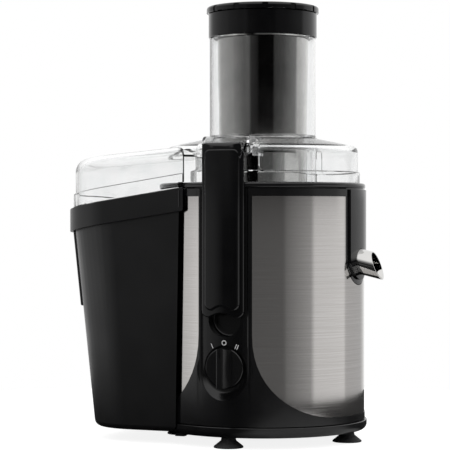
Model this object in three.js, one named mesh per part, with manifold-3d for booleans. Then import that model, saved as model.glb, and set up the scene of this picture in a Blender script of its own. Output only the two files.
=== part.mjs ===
// A centrifugal juicer, in millimetres with +Z up.
// Its drive axis is vertical, the spout points to +X, the pulp container stands at -X
// and the speed knob faces -Y. Neighbouring pieces keep a gap of about 0.3 mm.
import * as THREE from 'three';
import { mergeVertices } from 'three/addons/utils/BufferGeometryUtils.js';
import Module from 'manifold-3d';

const wasm = await Module();
wasm.setup();

// ---- driving dimensions ----
const GAP = 0.3;
const ROUND = 36; // facets on a large ring
const SMALL = 12; // facets on a small one
const OUTSIDE = 110; // clear of every side of the body
const ABOVE_RIM_Z = 230;

const SKIN_R = 89.3; // black housing skin
const HOUSING_INSIDE_R = 85.4;
const HOUSING_BOTTOM_Z = 18;
const HOUSING_TOP_Z = 217.5;
const DECK_Z = 130; // underside of the floor between the motor and the bowl
const DECK_THICK = 3;

const STEEL_R = 88.8;
const STEEL_THICK = 0.8;
const STEEL_TOP_Z = 210.6;
const STEEL_BOTTOM_Z = 24.5;
const COLUMN_HALF_ARC = 24.5; // from the middle of a column to the edge of the steel
const STEEL_CURVE_ARC = 105; // where the steel's lower edge has become level
const STEEL_CURVE_Z = 95; // where that curve leaves the upright edge
const STEEL_CURVE_POWER = 2.2;

const COVER_R = 91;
const COVER_BOTTOM_Z = 9;
const PLATE_THICK = 2.5;
const FOOT_R = 12.5;
const FOOT_CIRCLE_R = 78;
const BOSS_CIRCLE_R = 80;

const CHANNEL_HALF = 21.5; // shallow channel down each column
const CHANNEL_R = 87.9;
const KNOB_Z = 67.2;
const KNOB_R = 17;
const KNOB_BACK = 84.3;
const NOTCH_Z = 107.6; // finger notch under each latch
const NOTCH_R = 14.6;
const NOTCH_DEPTH_R = 76;
const CORD_Z = 42;

const BOWL_R = 84.4;
const BOWL_WALL = 2;
const BOWL_RIM_R = 89.8;
const BOWL_RIM_Z = 222.5;
const BOWL_FLOOR_Z = 143;
const SLOT_HALF = 24.5; // U-shaped slot for the spout
const SLOT_BOTTOM_Z = 135;
const APRON_HALF = 20.5;

const SPOUT_R = 10.75;
const SPOUT_WALL = 0.8;
const SPOUT_X = 91;
const SPOUT_Z = 155;
const SPOUT_TILT = THREE.MathUtils.degToRad(13);
const SPOUT_CUT = THREE.MathUtils.degToRad(20);

const LID_WALL = 2.5;
const LID_R = 83.3;
const LID_SKIRT_R = 85.1;
const LID_STEP_Z = 232.5;
const LID_BOTTOM_Z = BOWL_RIM_Z + GAP;
const CHUTE_R = 46.4;
const CHUTE_TOP_Z = 349.7;
const CHUTE_BOTTOM_Z = 176;
const CHUTE_FOOT_Z = 262; // where the chute meets the dome
const HOOD_HALF = 80;
const HOOD_FAR_X = -160.7;
const HOOD_NEAR_X = -41;
const HOOD_TOP_Z = 253.6; // at HOOD_NEAR_X
const HOOD_TOP_SLOPE = 0.085;
const LUG_X = 20.2;
const LUG_THICK = 2.5;
const LUG_TOP_Z = 261;

const HINGE_R = 66; // latch pin, from the drive axis
const HINGE_Z = 253.8;
const KNUCKLE_R = 6.2;
const KNUCKLE_HALF = 17.8;
const PIN_R = 2;
const ARM_HALF = 18.7;
const ARM_INSIDE_R = 90.3;
const ARM_OUTSIDE_R = 94;
const ARM_FACE_R = 95.2;
const ARM_TOP_Z = 253;
const ARM_BOTTOM_Z = 109.3;

const BIN_WALL = 2.5;
const BIN_FACE_R = 92; // hollow face towards the body
const BIN_BOTTOM_Z = 10.5;
const BIN_HALF = 78;
const BIN_TOP_HALF = 80.5;
const BIN_FAR_X = -143;
const BIN_TOP_FAR_X = -164.7;
const BIN_CORNER_R = 48;
const RIM_SLOPE = 0.15;
const RIM_Z = 217; // at RIM_X
const RIM_X = -50;
const RIM_HEIGHT = 20;
const RIM_PROUD = 2.3;

const PUSHER_TOP_R = 40;
const PUSHER_LOW_R = 38.7;
const PUSHER_BOTTOM_Z = 182;
const COLLAR_R = 47.4;
const COLLAR_TOP_Z = 371;
const CAP_R = 49.1;
const CAP_TOP_Z = 377;

const BASKET_BASE_Z = 160;
const BASKET_BOTTOM_R = 50;
const BASKET_TOP_R = 70;
const BASKET_TOP_Z = 219;
const BASKET_SHEET = 0.8;

const SHAFT_R = 4;
const BEARING_R = 11;
const BEARING_LOW_Z = 31;
const BEARING_HIGH_Z = 115;
const BRACKET_LOW_Z = 38; // undersides of the two bracket plates
const BRACKET_HIGH_Z = 112;
const BRACKET_THICK = 3;
const BOLT_R = 2;
const FAN_Z = 103;
const BRUSH_Z = 47;
const ROTOR_R = 20;
const STACK_LOW_Z = 62; // laminated stack, low and high ends
const STACK_HIGH_Z = 94;

// ---- materials ----
const finish = (colour, roughness, metalness = 0) => ({ colour, roughness, metalness });
const GLOSS_BLACK = finish('#1b1b1c', 0.25);
const SATIN_BLACK = finish('#232324', 0.45);
const BRUSHED_STEEL = finish('#b4b2af', 0.35, 1);
const POLISHED_STEEL = finish('#c9c9c8', 0.15, 1);
const MACHINED_STEEL = finish('#9a9a9a', 0.4, 1);
const LAMINATED_STEEL = finish('#6f7072', 0.5, 1);
const COPPER = finish('#b0683c', 0.35, 1);
const BRASS = finish('#b79350', 0.35, 1);
const CLEAR = { ...finish('#eef2f3', 0.08), opacity: 0.35 };
const RUBBER = finish('#2b2b2c', 0.85);
const PALE_PLASTIC = finish('#d6d3cb', 0.5);
const GREY_PLASTIC = finish('#5c5d60', 0.5);
const CARBON = finish('#2e2e30', 0.7);
const BOARD_GREEN = finish('#2f6b45', 0.6);

// ---- from geometry to solids ----
function signedVolume(position, index) {
  const [a, b, c] = [new THREE.Vector3(), new THREE.Vector3(), new THREE.Vector3()];
  let volume = 0;
  for (let i = 0; i < index.length; i += 3) {
    a.fromBufferAttribute(position, index[i]);
    b.fromBufferAttribute(position, index[i + 1]);
    c.fromBufferAttribute(position, index[i + 2]);
    volume += a.dot(b.cross(c)) / 6;
  }
  return volume;
}

// A closed geometry becomes a manifold solid whose faces point out.
function solid(geometry) {
  const bare = new THREE.BufferGeometry();
  bare.setAttribute('position', geometry.getAttribute('position').clone());
  if (geometry.index) bare.setIndex(geometry.index.clone());
  const merged = mergeVertices(bare, 1e-4);
  const index = [];
  for (let i = 0; i < merged.index.count; i += 3) {
    const corner = [0, 1, 2].map((k) => merged.index.getX(i + k));
    if (new Set(corner).size === 3) index.push(...corner);
  }
  const position = merged.getAttribute('position');
  if (signedVolume(position, index) < 0) index.reverse();
  return new wasm.Manifold(new wasm.Mesh({
    numProp: 3,
    vertProperties: new Float32Array(position.array),
    triVerts: new Uint32Array(index),
  }));
}

const join = (first, ...others) => others.reduce((all, next) => all.add(next), first);
const cut = (first, ...others) => others.reduce((all, next) => all.subtract(next), first);
const common = (first, second) => first.intersect(second);

function meshOf(name, body, look) {
  const made = body.getMesh();
  const geometry = new THREE.BufferGeometry();
  geometry.setAttribute('position', new THREE.BufferAttribute(made.vertProperties, made.numProp));
  geometry.setIndex(new THREE.BufferAttribute(made.triVerts, 1));
  geometry.computeVertexNormals();
  const material = new THREE.MeshStandardMaterial({
    color: look.colour,
    roughness: look.roughness,
    metalness: look.metalness,
    opacity: look.opacity ?? 1,
    transparent: look.opacity !== undefined,
  });
  const mesh = new THREE.Mesh(geometry, material);
  mesh.name = name;
  return mesh;
}

// ---- shapes that the pieces are made from ----
// A solid of revolution about Z: points are [radius, z]; a hollow one closes on itself.
function turned(points, segments = ROUND) {
  const profile = points.map(([r, z]) => new THREE.Vector2(r, z));
  const open = points[0][0] > 0 || points[points.length - 1][0] > 0;
  if (open) profile.push(profile[0].clone());
  return solid(new THREE.LatheGeometry(profile, segments).rotateX(Math.PI / 2));
}

const disc = (r, z0, z1, segments = SMALL) =>
  turned([[0, z0], [r, z0], [r, z1], [0, z1]], segments);

const ring = (r0, r1, z0, z1, segments = SMALL) =>
  turned([[r0, z0], [r1, z0], [r1, z1], [r0, z1]], segments);

function arc(centreR, centreZ, radius, from, to, steps = 3) {
  return Array.from({ length: steps + 1 }, (_, i) => {
    const angle = THREE.MathUtils.degToRad(THREE.MathUtils.lerp(from, to, i / steps));
    return [centreR + radius * Math.cos(angle), centreZ + radius * Math.sin(angle)];
  });
}

function block(x0, x1, y0, y1, z0, z1) {
  const geometry = new THREE.BoxGeometry(x1 - x0, y1 - y0, z1 - z0);
  return solid(geometry.translate((x0 + x1) / 2, (y0 + y1) / 2, (z0 + z1) / 2));
}

// A drawn outline pushed along +Z from z0 to z1.
function upright(shape, z0, z1, curveSegments = 8) {
  const geometry = new THREE.ExtrudeGeometry(shape, {
    depth: z1 - z0,
    bevelEnabled: false,
    curveSegments,
  });
  return solid(geometry.translate(0, 0, z0));
}

// An outline drawn as (x, z) and pushed along Y, or as (y, z) and pushed along X.
function alongY(shape, y0, y1, curveSegments = 6) {
  const geometry = new THREE.ExtrudeGeometry(shape, {
    depth: y1 - y0,
    bevelEnabled: false,
    curveSegments,
  });
  return solid(geometry.rotateX(Math.PI / 2).translate(0, y1, 0));
}

function alongX(shape, x0, x1, curveSegments = 6) {
  const geometry = new THREE.ExtrudeGeometry(shape, {
    depth: x1 - x0,
    bevelEnabled: false,
    curveSegments,
  });
  return solid(geometry.rotateX(Math.PI / 2).rotateZ(Math.PI / 2).translate(x0, 0, 0));
}

// A plain rod along Y or X, from the housing's middle outwards.
function rodY(r, x, z, y0, y1, segments = SMALL) {
  const geometry = new THREE.CylinderGeometry(r, r, y1 - y0, segments);
  return solid(geometry.translate(x, (y0 + y1) / 2, z));
}

function rodX(r, y, z, x0, x1, segments = SMALL) {
  const geometry = new THREE.CylinderGeometry(r, r, x1 - x0, segments);
  return solid(geometry.rotateZ(Math.PI / 2).translate((x0 + x1) / 2, y, z));
}

function outline(points) {
  return new THREE.Shape(points.map(([x, y]) => new THREE.Vector2(x, y)));
}

function roundedRectangle(halfX, halfY, radius) {
  const shape = new THREE.Shape();
  shape.absarc(halfX - radius, halfY - radius, radius, 0, Math.PI / 2);
  shape.absarc(-halfX + radius, halfY - radius, radius, Math.PI / 2, Math.PI);
  shape.absarc(-halfX + radius, -halfY + radius, radius, Math.PI, 1.5 * Math.PI);
  shape.absarc(halfX - radius, -halfY + radius, radius, 1.5 * Math.PI, 2 * Math.PI);
  return shape;
}

// A slot with a round lower end and an open top, drawn as (across, z).
function slotOutline(half, bottomZ, topZ) {
  const shape = new THREE.Shape();
  shape.moveTo(half, topZ);
  shape.lineTo(-half, topZ);
  shape.absarc(0, bottomZ + half, half, Math.PI, 2 * Math.PI);
  return shape;
}

// A plate wrapped round the body: arcs are measured along STEEL_R from the -Y line,
// positive towards the spout. Columns crowd towards the ends, where the edges curve.
function wrapped(arc0, arc1, lowEdge, highEdge, r0, r1, columns) {
  const geometry = new THREE.BoxGeometry(1, 1, 1, columns, 1, 1);
  const position = geometry.getAttribute('position');
  for (let i = 0; i < position.count; i++) {
    const share = 0.5 - 0.5 * Math.cos(Math.PI * (position.getX(i) + 0.5));
    const along = THREE.MathUtils.lerp(arc0, arc1, share);
    const z = THREE.MathUtils.lerp(lowEdge(along), highEdge(along), position.getY(i) + 0.5);
    const r = THREE.MathUtils.lerp(r0, r1, position.getZ(i) + 0.5);
    const angle = along / STEEL_R - Math.PI / 2;
    position.setXYZ(i, r * Math.cos(angle), r * Math.sin(angle), z);
  }
  return solid(geometry);
}

// An outline lofted upwards: each level gives its own z(x) and its own scale in x and y
// about a fixed point, so walls can lean and edges can be rounded.
function lofted(shape, fixedX, levels, curveSegments = 6) {
  const geometry = new THREE.ExtrudeGeometry(shape, {
    depth: levels.length - 1,
    steps: levels.length - 1,
    bevelEnabled: false,
    curveSegments,
  });
  const position = geometry.getAttribute('position');
  for (let i = 0; i < position.count; i++) {
    const level = levels[Math.round(position.getZ(i))];
    const x = fixedX + (position.getX(i) - fixedX) * level.sx;
    position.setXYZ(i, x, position.getY(i) * level.sy, level.z(x));
  }
  return solid(geometry);
}

// Plan of the container and of the hood over it: straight sides and a rounded far end.
function binPlan(half, farX, cornerR, nearX) {
  const shape = new THREE.Shape();
  shape.moveTo(nearX, half);
  shape.lineTo(farX + cornerR, half);
  shape.absarc(farX + cornerR, half - cornerR, cornerR, Math.PI / 2, Math.PI);
  shape.absarc(farX + cornerR, -half + cornerR, cornerR, Math.PI, 1.5 * Math.PI);
  shape.lineTo(nearX, -half);
  return shape;
}

const rimTop = (x) => RIM_Z + RIM_SLOPE * (x - RIM_X);

const around = (count, start = 0) =>
  Array.from({ length: count }, (_, i) => start + (i * 2 * Math.PI) / count);

// ---- housing and base ----
// Quarter of a superellipse from the upright edge beside the column to the level edge.
function steelLowEdge(along, margin) {
  const fromColumn = Math.min(along, Math.PI * STEEL_R - along) + margin;
  if (fromColumn >= STEEL_CURVE_ARC) return STEEL_BOTTOM_Z;
  const across = (STEEL_CURVE_ARC - fromColumn) / (STEEL_CURVE_ARC - COLUMN_HALF_ARC);
  const rest = Math.max(0, 1 - Math.min(1, across) ** STEEL_CURVE_POWER);
  return STEEL_CURVE_Z - (STEEL_CURVE_Z - STEEL_BOTTOM_Z) * rest ** (1 / STEEL_CURVE_POWER);
}

// side is 1 for the spout side and -1 for the container side.
function steelOutline(side, margin, r0, r1) {
  const start = COLUMN_HALF_ARC - margin;
  const end = Math.PI * STEEL_R - start;
  const low = (along) => steelLowEdge(Math.abs(along), margin) - margin;
  const high = () => STEEL_TOP_Z + margin;
  return wrapped(side * start, side * end, low, high, r0, r1, 32);
}

function steelPanel(side) {
  const panel = steelOutline(side, 0, STEEL_R - STEEL_THICK, STEEL_R);
  if (side < 0) return panel;
  return cut(panel, alongX(slotOutline(SLOT_HALF + GAP, SLOT_BOTTOM_Z - GAP, ABOVE_RIM_Z), 60, OUTSIDE));
}

// What a column loses: the shallow channel, ending round, and the deep finger notch.
function columnChannel(side, endZ) {
  const tall = alongY(slotOutline(CHANNEL_HALF, endZ, ABOVE_RIM_Z), 60, OUTSIDE);
  const strip = common(tall, ring(CHANNEL_R, OUTSIDE, 20, 240, ROUND));
  const notch = rodY(NOTCH_R, 0, NOTCH_Z, NOTCH_DEPTH_R, OUTSIDE, 20);
  const both = join(strip, notch);
  return side < 0 ? both.rotate([0, 0, 180]) : both;
}

function motorHousing() {
  const shell = turned([
    [HOUSING_INSIDE_R, HOUSING_BOTTOM_Z], [SKIN_R, HOUSING_BOTTOM_Z],
    [SKIN_R, HOUSING_TOP_Z], [HOUSING_INSIDE_R, HOUSING_TOP_Z],
  ]);
  const deck = ring(6.5, HOUSING_INSIDE_R + 1, DECK_Z, DECK_Z + DECK_THICK, ROUND);
  const sealSeat = ring(6.5, 10, DECK_Z - 6, DECK_Z + 9);
  const bosses = around(4, Math.PI / 4).map((angle) =>
    join(disc(6.5, HOUSING_BOTTOM_Z, 60), disc(5.4, 15.3, 20)).translate([
      BOSS_CIRCLE_R * Math.cos(angle), BOSS_CIRCLE_R * Math.sin(angle), 0]));
  const posts = motorMountPlaces().map(([x, y]) => disc(6, 122, DECK_Z + 1).translate([x, y, 0]));
  const notchWalls = [-1, 1].map((side) =>
    common(rodY(NOTCH_R + 2.5, 0, NOTCH_Z, -86.5, 86.5, 20),
      side < 0 ? block(-30, 30, -100, -NOTCH_DEPTH_R + 2.5, 80, 130)
        : block(-30, 30, NOTCH_DEPTH_R - 2.5, 100, 80, 130)));
  const knobSeat = rodY(KNOB_R + 4, 0, KNOB_Z, -86.5, -KNOB_BACK + 3.3, 24);
  const insideTrim = disc(SKIN_R - 0.5, 15, 229, ROUND);
  const inside = join(common(knobSeat, insideTrim), ...bosses.map((b) => common(b, insideTrim)),
    ...notchWalls.map((wall) => common(wall, insideTrim)));
  const screwHoles = around(4, Math.PI / 4).map((angle) =>
    disc(2.3, 10, 34, 12).translate([
      BOSS_CIRCLE_R * Math.cos(angle), BOSS_CIRCLE_R * Math.sin(angle), 0]));
  return cut(
    join(shell, deck, sealSeat, ...posts, inside),
    steelOutline(1, GAP, STEEL_R - STEEL_THICK - GAP, 100),
    steelOutline(-1, GAP, STEEL_R - STEEL_THICK - GAP, 100),
    alongX(slotOutline(SLOT_HALF, SLOT_BOTTOM_Z, ABOVE_RIM_Z), 60, OUTSIDE),
    columnChannel(1, NOTCH_Z - CHANNEL_HALF),
    columnChannel(-1, KNOB_Z - CHANNEL_HALF),
    rodY(KNOB_R + 0.6, 0, KNOB_Z, -OUTSIDE, -KNOB_BACK + GAP, 24),
    rodY(3.6, 0, KNOB_Z, -100, -70),
    rodY(5.3, 0, CORD_Z, 70, OUTSIDE),
    ...screwHoles,
  );
}

function bottomCover() {
  const top = HOUSING_BOTTOM_Z - GAP;
  const tray = turned([
    [0, COVER_BOTTOM_Z], [COVER_R - 5, COVER_BOTTOM_Z],
    ...arc(COVER_R - 5, COVER_BOTTOM_Z + 5, 5, -60, 0, 2),
    [COVER_R, top], [86, top], [86, COVER_BOTTOM_Z + PLATE_THICK],
    [0, COVER_BOTTOM_Z + PLATE_THICK],
  ]);
  const pads = around(4, Math.PI / 4).map((angle) =>
    disc(6, 10, 15).translate([
      BOSS_CIRCLE_R * Math.cos(angle), BOSS_CIRCLE_R * Math.sin(angle), 0]));
  const lugs = [-1, 1].map((side) => block(-49, -41, side * 75 - 3, side * 75 + 3, 7.4, 10));
  const screwHoles = around(4, Math.PI / 4).map((angle) =>
    join(disc(2.3, 0, 20, 12), disc(4, 0, 12.3)).translate([
      BOSS_CIRCLE_R * Math.cos(angle), BOSS_CIRCLE_R * Math.sin(angle), 0]));
  const footHoles = footPlaces().map(([x, y]) => disc(3.8, 0, 20).translate([x, y, 0]));
  const vents = around(8, Math.PI / 8).map((angle) =>
    block(34, 58, -2, 2, 0, 20).rotate([0, 0, THREE.MathUtils.radToDeg(angle)]));
  return cut(join(tray, ...pads, ...lugs), ...screwHoles, ...footHoles, ...vents);
}

function footPlaces() {
  return around(4, -Math.PI / 2).map((angle) => [
    FOOT_CIRCLE_R * Math.cos(angle), FOOT_CIRCLE_R * Math.sin(angle)]);
}

function suctionFoot() {
  return turned([
    [0, 4], [9, 1.6], [10.5, 0], [FOOT_R, 0], [FOOT_R, 1.2], [6.5, 6],
    [6, 8.7], [3.4, 8.7], [3.4, 11.8], [5, 11.8], [4, 14], [0, 14],
  ], 12);
}

function coverScrew() {
  return turned([[0, 9.6], [3.6, 9.6], [3.6, 12], [2, 12], [2, 30], [0, 31]], 12);
}

function cordGland() {
  return rodJoin([[8, 89.7, 92], [6.3, 92, 97], [5.4, 97, 101], [5, 84.5, 90], [7, 82, 84.5]]);
}

// Short rods end to end along Y at the cord's height, as one body.
function rodJoin(steps) {
  return join(...steps.map(([r, y0, y1]) => rodY(r, 0, CORD_Z, y0 - 0.01, y1)));
}

// ---- motor ----
function motorMountPlaces() {
  return [[-36, -26], [36, -26], [36, 26], [-36, 26]];
}

// A plate with a cup for one bearing, a hole for the shaft and two air windows.
function bracket(plateZ, cup, seat) {
  const plate = upright(roundedRectangle(43, 33, 6), plateZ, plateZ + BRACKET_THICK, 4);
  const windows = [-1, 1].map((side) =>
    block(14, 30, -20, 20, plateZ - 1, plateZ + BRACKET_THICK + 1).translate([
      side < 0 ? -44 : 0, 0, 0]));
  return cut(join(plate, cup), seat, disc(6, plateZ - 20, plateZ + 20), ...windows, ...boltHoles());
}

function upperBracket() {
  const seatZ = BEARING_HIGH_Z - 0.5;
  return bracket(BRACKET_HIGH_Z, disc(15, BRACKET_HIGH_Z + 1, 124), disc(BEARING_R + GAP, seatZ, 130));
}

function lowerBracket() {
  const seatTop = BEARING_LOW_Z + 7.5;
  return bracket(BRACKET_LOW_Z, disc(15, 29, BRACKET_LOW_Z + 2), disc(BEARING_R + GAP, 20, seatTop));
}

const boltPlaces = [[-37.5, 0], [37.5, 0]];

function boltHoles() {
  return boltPlaces.map(([x, y]) => disc(BOLT_R + 0.4, 20, 140, 12).translate([x, y, 0]));
}

function motorBolt() {
  const nutZ = BRACKET_HIGH_Z + BRACKET_THICK + GAP;
  return join(
    disc(BOLT_R, 34, 119, 12),
    disc(3.8, 34, BRACKET_LOW_Z - GAP, 6),
    disc(3.8, nutZ, 118.5, 6),
  );
}

function bearing(z0) {
  return turned([
    [SHAFT_R + GAP, z0], [6.8, z0], [6.8, z0 + 0.7], [9.2, z0 + 0.7], [9.2, z0], [BEARING_R, z0],
    [BEARING_R, z0 + 7], [SHAFT_R + GAP, z0 + 7],
  ], SMALL);
}

// Laminated field stack: a round bore between two poles, with slots for the coils.
function statorCore() {
  const stack = upright(roundedRectangle(42, 36, 8), STACK_LOW_Z, STACK_HIGH_Z, 4);
  const slots = [-20.2, 20.2].map((y) => block(-21.8, 21.8, y - 8.6, y + 8.6, 0, 140));
  return cut(stack, disc(ROTOR_R + 0.6, 0, 140, 24), ...slots, ...boltHoles());
}

// Each coil is a racetrack of copper through the slots and over both ends of a pole.
function fieldCoil(side) {
  const middleZ = (STACK_LOW_Z + STACK_HIGH_Z) / 2;
  const halfZ = (STACK_HIGH_Z - STACK_LOW_Z) / 2;
  const racetrack = roundedRectangle(28.4, halfZ + 7, 6);
  racetrack.holes.push(roundedRectangle(21.4, halfZ + 0.4, 2));
  const coil = alongX(racetrack, 14.3, 21.4, 4).translate([0, 0, middleZ]);
  return side < 0 ? coil.rotate([0, 0, 180]) : coil;
}

function rotorCore() {
  const stack = ring(SHAFT_R + GAP, ROTOR_R, STACK_LOW_Z, STACK_HIGH_Z, 24);
  const slots = around(12).map((angle) =>
    block(14, 21, -0.8, 0.8, 0, 140).rotate([0, 0, THREE.MathUtils.radToDeg(angle)]));
  return cut(stack, ...slots);
}

function commutator() {
  const barrel = join(ring(SHAFT_R + GAP, 11, 45, 56, 24), ring(SHAFT_R + GAP, 13, 56, 58, 24));
  const gaps = around(12, Math.PI / 12).map((angle) =>
    block(10, 14, -0.3, 0.3, 40, 60).rotate([0, 0, THREE.MathUtils.radToDeg(angle)]));
  return cut(barrel, ...gaps);
}

function carbonBrush(side) {
  return block(side < 0 ? -25 : 11.4, side < 0 ? -11.4 : 25, -3, 3, BRUSH_Z, BRUSH_Z + 6.4);
}

function brushHolder(side) {
  const tube = cut(
    block(16, 33, -5, 5, BRACKET_LOW_Z + BRACKET_THICK + GAP, BRUSH_Z + 7.7),
    block(10, 31, -3.3, 3.3, BRUSH_Z - GAP, BRUSH_Z + 6.7),
  );
  return side < 0 ? tube.rotate([0, 0, 180]) : tube;
}

function coolingFan() {
  const top = FAN_Z + 6.5;
  const hub = ring(SHAFT_R + GAP, 9, FAN_Z, top);
  const plate = ring(8, 31, FAN_Z, FAN_Z + 1.2, 28);
  const blades = around(9).map((angle) =>
    block(8, 30.5, -0.8, 0.8, FAN_Z + 0.5, top).rotate([0, 0, THREE.MathUtils.radToDeg(angle)]));
  return join(hub, plate, ...blades);
}

function rubberMount() {
  return turned([[0, 115.3], [7, 115.3], [7, 117.3], [5, 118.5], [7, 119.7], [7, 121.7], [0, 121.7]],
    16);
}

// ---- switches and electronics ----
function speedKnob() {
  const dial = rodY(KNOB_R, 0, KNOB_Z, -KNOB_BACK - 4, -KNOB_BACK, 24);
  const grip = new THREE.Shape();
  grip.moveTo(-6.5, -KNOB_BACK - 2);
  grip.lineTo(-3, -98);
  grip.quadraticCurveTo(0, -98.8, 3, -98);
  grip.lineTo(6.5, -KNOB_BACK - 2);
  const bar = common(upright(grip, KNOB_Z - 16.5, KNOB_Z + 16.5, 4),
    rodY(KNOB_R - 0.4, 0, KNOB_Z, -OUTSIDE, -80, 24));
  return cut(join(dial, bar), rodY(3.4, 0, KNOB_Z, -91, -80));
}

function switchSpindle() {
  return rodY(3.1, 0, KNOB_Z, -90.6, -66, 16);
}

function rotarySwitch() {
  const body = block(-15, 15, -76, -60, KNOB_Z - 14, KNOB_Z + 14);
  const bush = rodY(6, 0, KNOB_Z, -80.6, -75);
  const tags = [-9, 0, 9].map((x) => block(x - 1.5, x + 1.5, -61, -54, KNOB_Z - 9, KNOB_Z - 8));
  return cut(join(body, bush, ...tags), rodY(3.4, 0, KNOB_Z, -90, -65.6));
}

function controlBoard() {
  const board = block(-64, -62.4, -24, 24, 38, 88);
  const heatSink = block(-63, -52, -20, -6, 60, 84);
  const capacitor = rodX(8, 11, 72, -63, -48);
  const choke = block(-63, -52, 2, 20, 44, 56);
  return join(board, heatSink, capacitor, choke);
}

function interlockSwitch() {
  return join(block(24, 44, -72, -65, 112, 123), block(32, 36, -75, -71, 115, 119));
}

// ---- bowl and spout ----
// Place of the spout's own frame: its axis runs outwards and down from the bowl.
function onSpoutAxis(body) {
  return body.rotate([0, THREE.MathUtils.radToDeg(SPOUT_TILT), 0]).translate([SPOUT_X, 0, SPOUT_Z]);
}

function juiceSpout() {
  const tube = cut(rodX(SPOUT_R, 0, 0, -12, 40, 24), rodX(SPOUT_R - SPOUT_WALL, 0, 0, -20, 50, 24));
  const lipX = SPOUT_X + 10 + 3.3;
  const knife = block(0, 60, -30, 30, -60, 60)
    .rotate([0, -THREE.MathUtils.radToDeg(SPOUT_CUT), 0])
    .translate([lipX, 0, SPOUT_Z]);
  return cut(onSpoutAxis(tube), knife);
}

function apron() {
  const frame = common(
    alongX(slotOutline(SLOT_HALF - GAP, SLOT_BOTTOM_Z + GAP, BOWL_RIM_Z - 1), 60, OUTSIDE),
    ring(BOWL_R - BOWL_WALL, SKIN_R - 0.4, 130, BOWL_RIM_Z - 1, ROUND));
  const raised = common(
    alongX(slotOutline(APRON_HALF, SPOUT_Z - SPOUT_R - 4, HOUSING_TOP_Z - 4), 60, OUTSIDE),
    ring(BOWL_R, SKIN_R + 1.6, 130, BOWL_RIM_Z, ROUND));
  return join(frame, raised);
}

function juiceBowl() {
  const inside = BOWL_R - BOWL_WALL;
  const shell = turned([
    [14.8, BOWL_FLOOR_Z], [BOWL_R - 4, BOWL_FLOOR_Z], [BOWL_R, BOWL_FLOOR_Z + 4],
    [BOWL_R, HOUSING_TOP_Z + GAP], [BOWL_RIM_R - 1, HOUSING_TOP_Z + GAP],
    [BOWL_RIM_R, HOUSING_TOP_Z + 1.3], [BOWL_RIM_R, BOWL_RIM_Z - 1], [BOWL_RIM_R - 1, BOWL_RIM_Z],
    [inside, BOWL_RIM_Z], [inside, BOWL_FLOOR_Z + 5], [inside - 3, BOWL_FLOOR_Z + 2.4],
    [17, BOWL_FLOOR_Z + 2.4], [17, 152], [14.8, 152],
  ]);
  const bore = onSpoutAxis(rodX(SPOUT_R + GAP, 0, 0, -30, 40, 24));
  return cut(join(shell, apron()), bore);
}

// ---- rotating group ----
function motorShaft() {
  return turned([[0, 26], [3, 26], [SHAFT_R, 27], [SHAFT_R, 155], [0, 155]], SMALL);
}

function shaftSeal() {
  return turned([[4.3, 125], [6.2, 125], [6.2, 138], [4.3, 138], [5, 132]], SMALL);
}

// Six-lobed drive outline, shared by the coupling and the socket it drives.
function driveOutline(reach) {
  const shape = new THREE.Shape();
  around(24).forEach((angle, i) => {
    const r = reach - (Math.floor(i / 2) % 2) * 1.4;
    const draw = i ? 'lineTo' : 'moveTo';
    shape[draw](r * Math.cos(angle), r * Math.sin(angle));
  });
  return shape;
}

function driveCoupling() {
  return cut(upright(driveOutline(11.6), 143.5, 157), disc(SHAFT_R + GAP, 140, 155.4));
}

function basketBase() {
  const z = BASKET_BASE_Z;
  const dish = turned([
    [0, z - 2], [19.5, z - 2], [19.5, z - 10], [21.5, z - 10], [21.5, z],
    [BASKET_BOTTOM_R, z], [BASKET_BOTTOM_R, z + 3], [0, z + 3],
  ]);
  return cut(join(dish, disc(14.4, 145.5, z)), upright(driveOutline(11.9), 140, 157.4));
}

// A cone of pierced steel sheet with a rolled rim, open at the top.
function filterBasket() {
  const z = BASKET_BASE_Z + 3 + GAP;
  const low = BASKET_BOTTOM_R + 0.6;
  return turned([
    [low - 5, z], [low, z], [BASKET_TOP_R + BASKET_SHEET, BASKET_TOP_Z],
    [BASKET_TOP_R + 4, BASKET_TOP_Z], [BASKET_TOP_R + 4, BASKET_TOP_Z + BASKET_SHEET],
    [BASKET_TOP_R, BASKET_TOP_Z + BASKET_SHEET], [low - 0.6, z + BASKET_SHEET],
    [low - 5, z + BASKET_SHEET],
  ]);
}

function graterDisc() {
  const z = BASKET_BASE_Z + 3 + GAP;
  const hub = turned([[0, z], [9, z + 0.5], [7, z + 5], [0, z + 6]]);
  const plate = join(disc(44.8, z, z + 1, ROUND), hub);
  const teeth = [16, 24, 32, 40].flatMap((r, row) =>
    around(6 + row * 3, row * 0.2).map((angle) =>
      solid(new THREE.ConeGeometry(1.6, 3, 4).rotateX(Math.PI / 2).translate(0, 0, 2))
        .translate([r * Math.cos(angle), r * Math.sin(angle), z])));
  return join(plate, ...teeth);
}

// ---- lid ----
// The lid's round part as a filled solid: shrink makes the matching inside.
function lidRound(wallR, skirtR, shrink, bottomZ) {
  const shoulder = 5;
  const centre = [wallR - shoulder, 250.2];
  return turned([
    [0, bottomZ], [skirtR - shrink, bottomZ], [skirtR - shrink, LID_STEP_Z],
    [wallR - shrink, LID_STEP_Z],
    ...arc(centre[0], centre[1], shoulder - shrink / 2, 0, 78).map(([r, z]) => [
      r - shrink / 2, z - shrink / 2]),
    [CHUTE_R - shrink, CHUTE_FOOT_Z - shrink], [0, CHUTE_FOOT_Z - shrink],
  ]);
}

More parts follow.
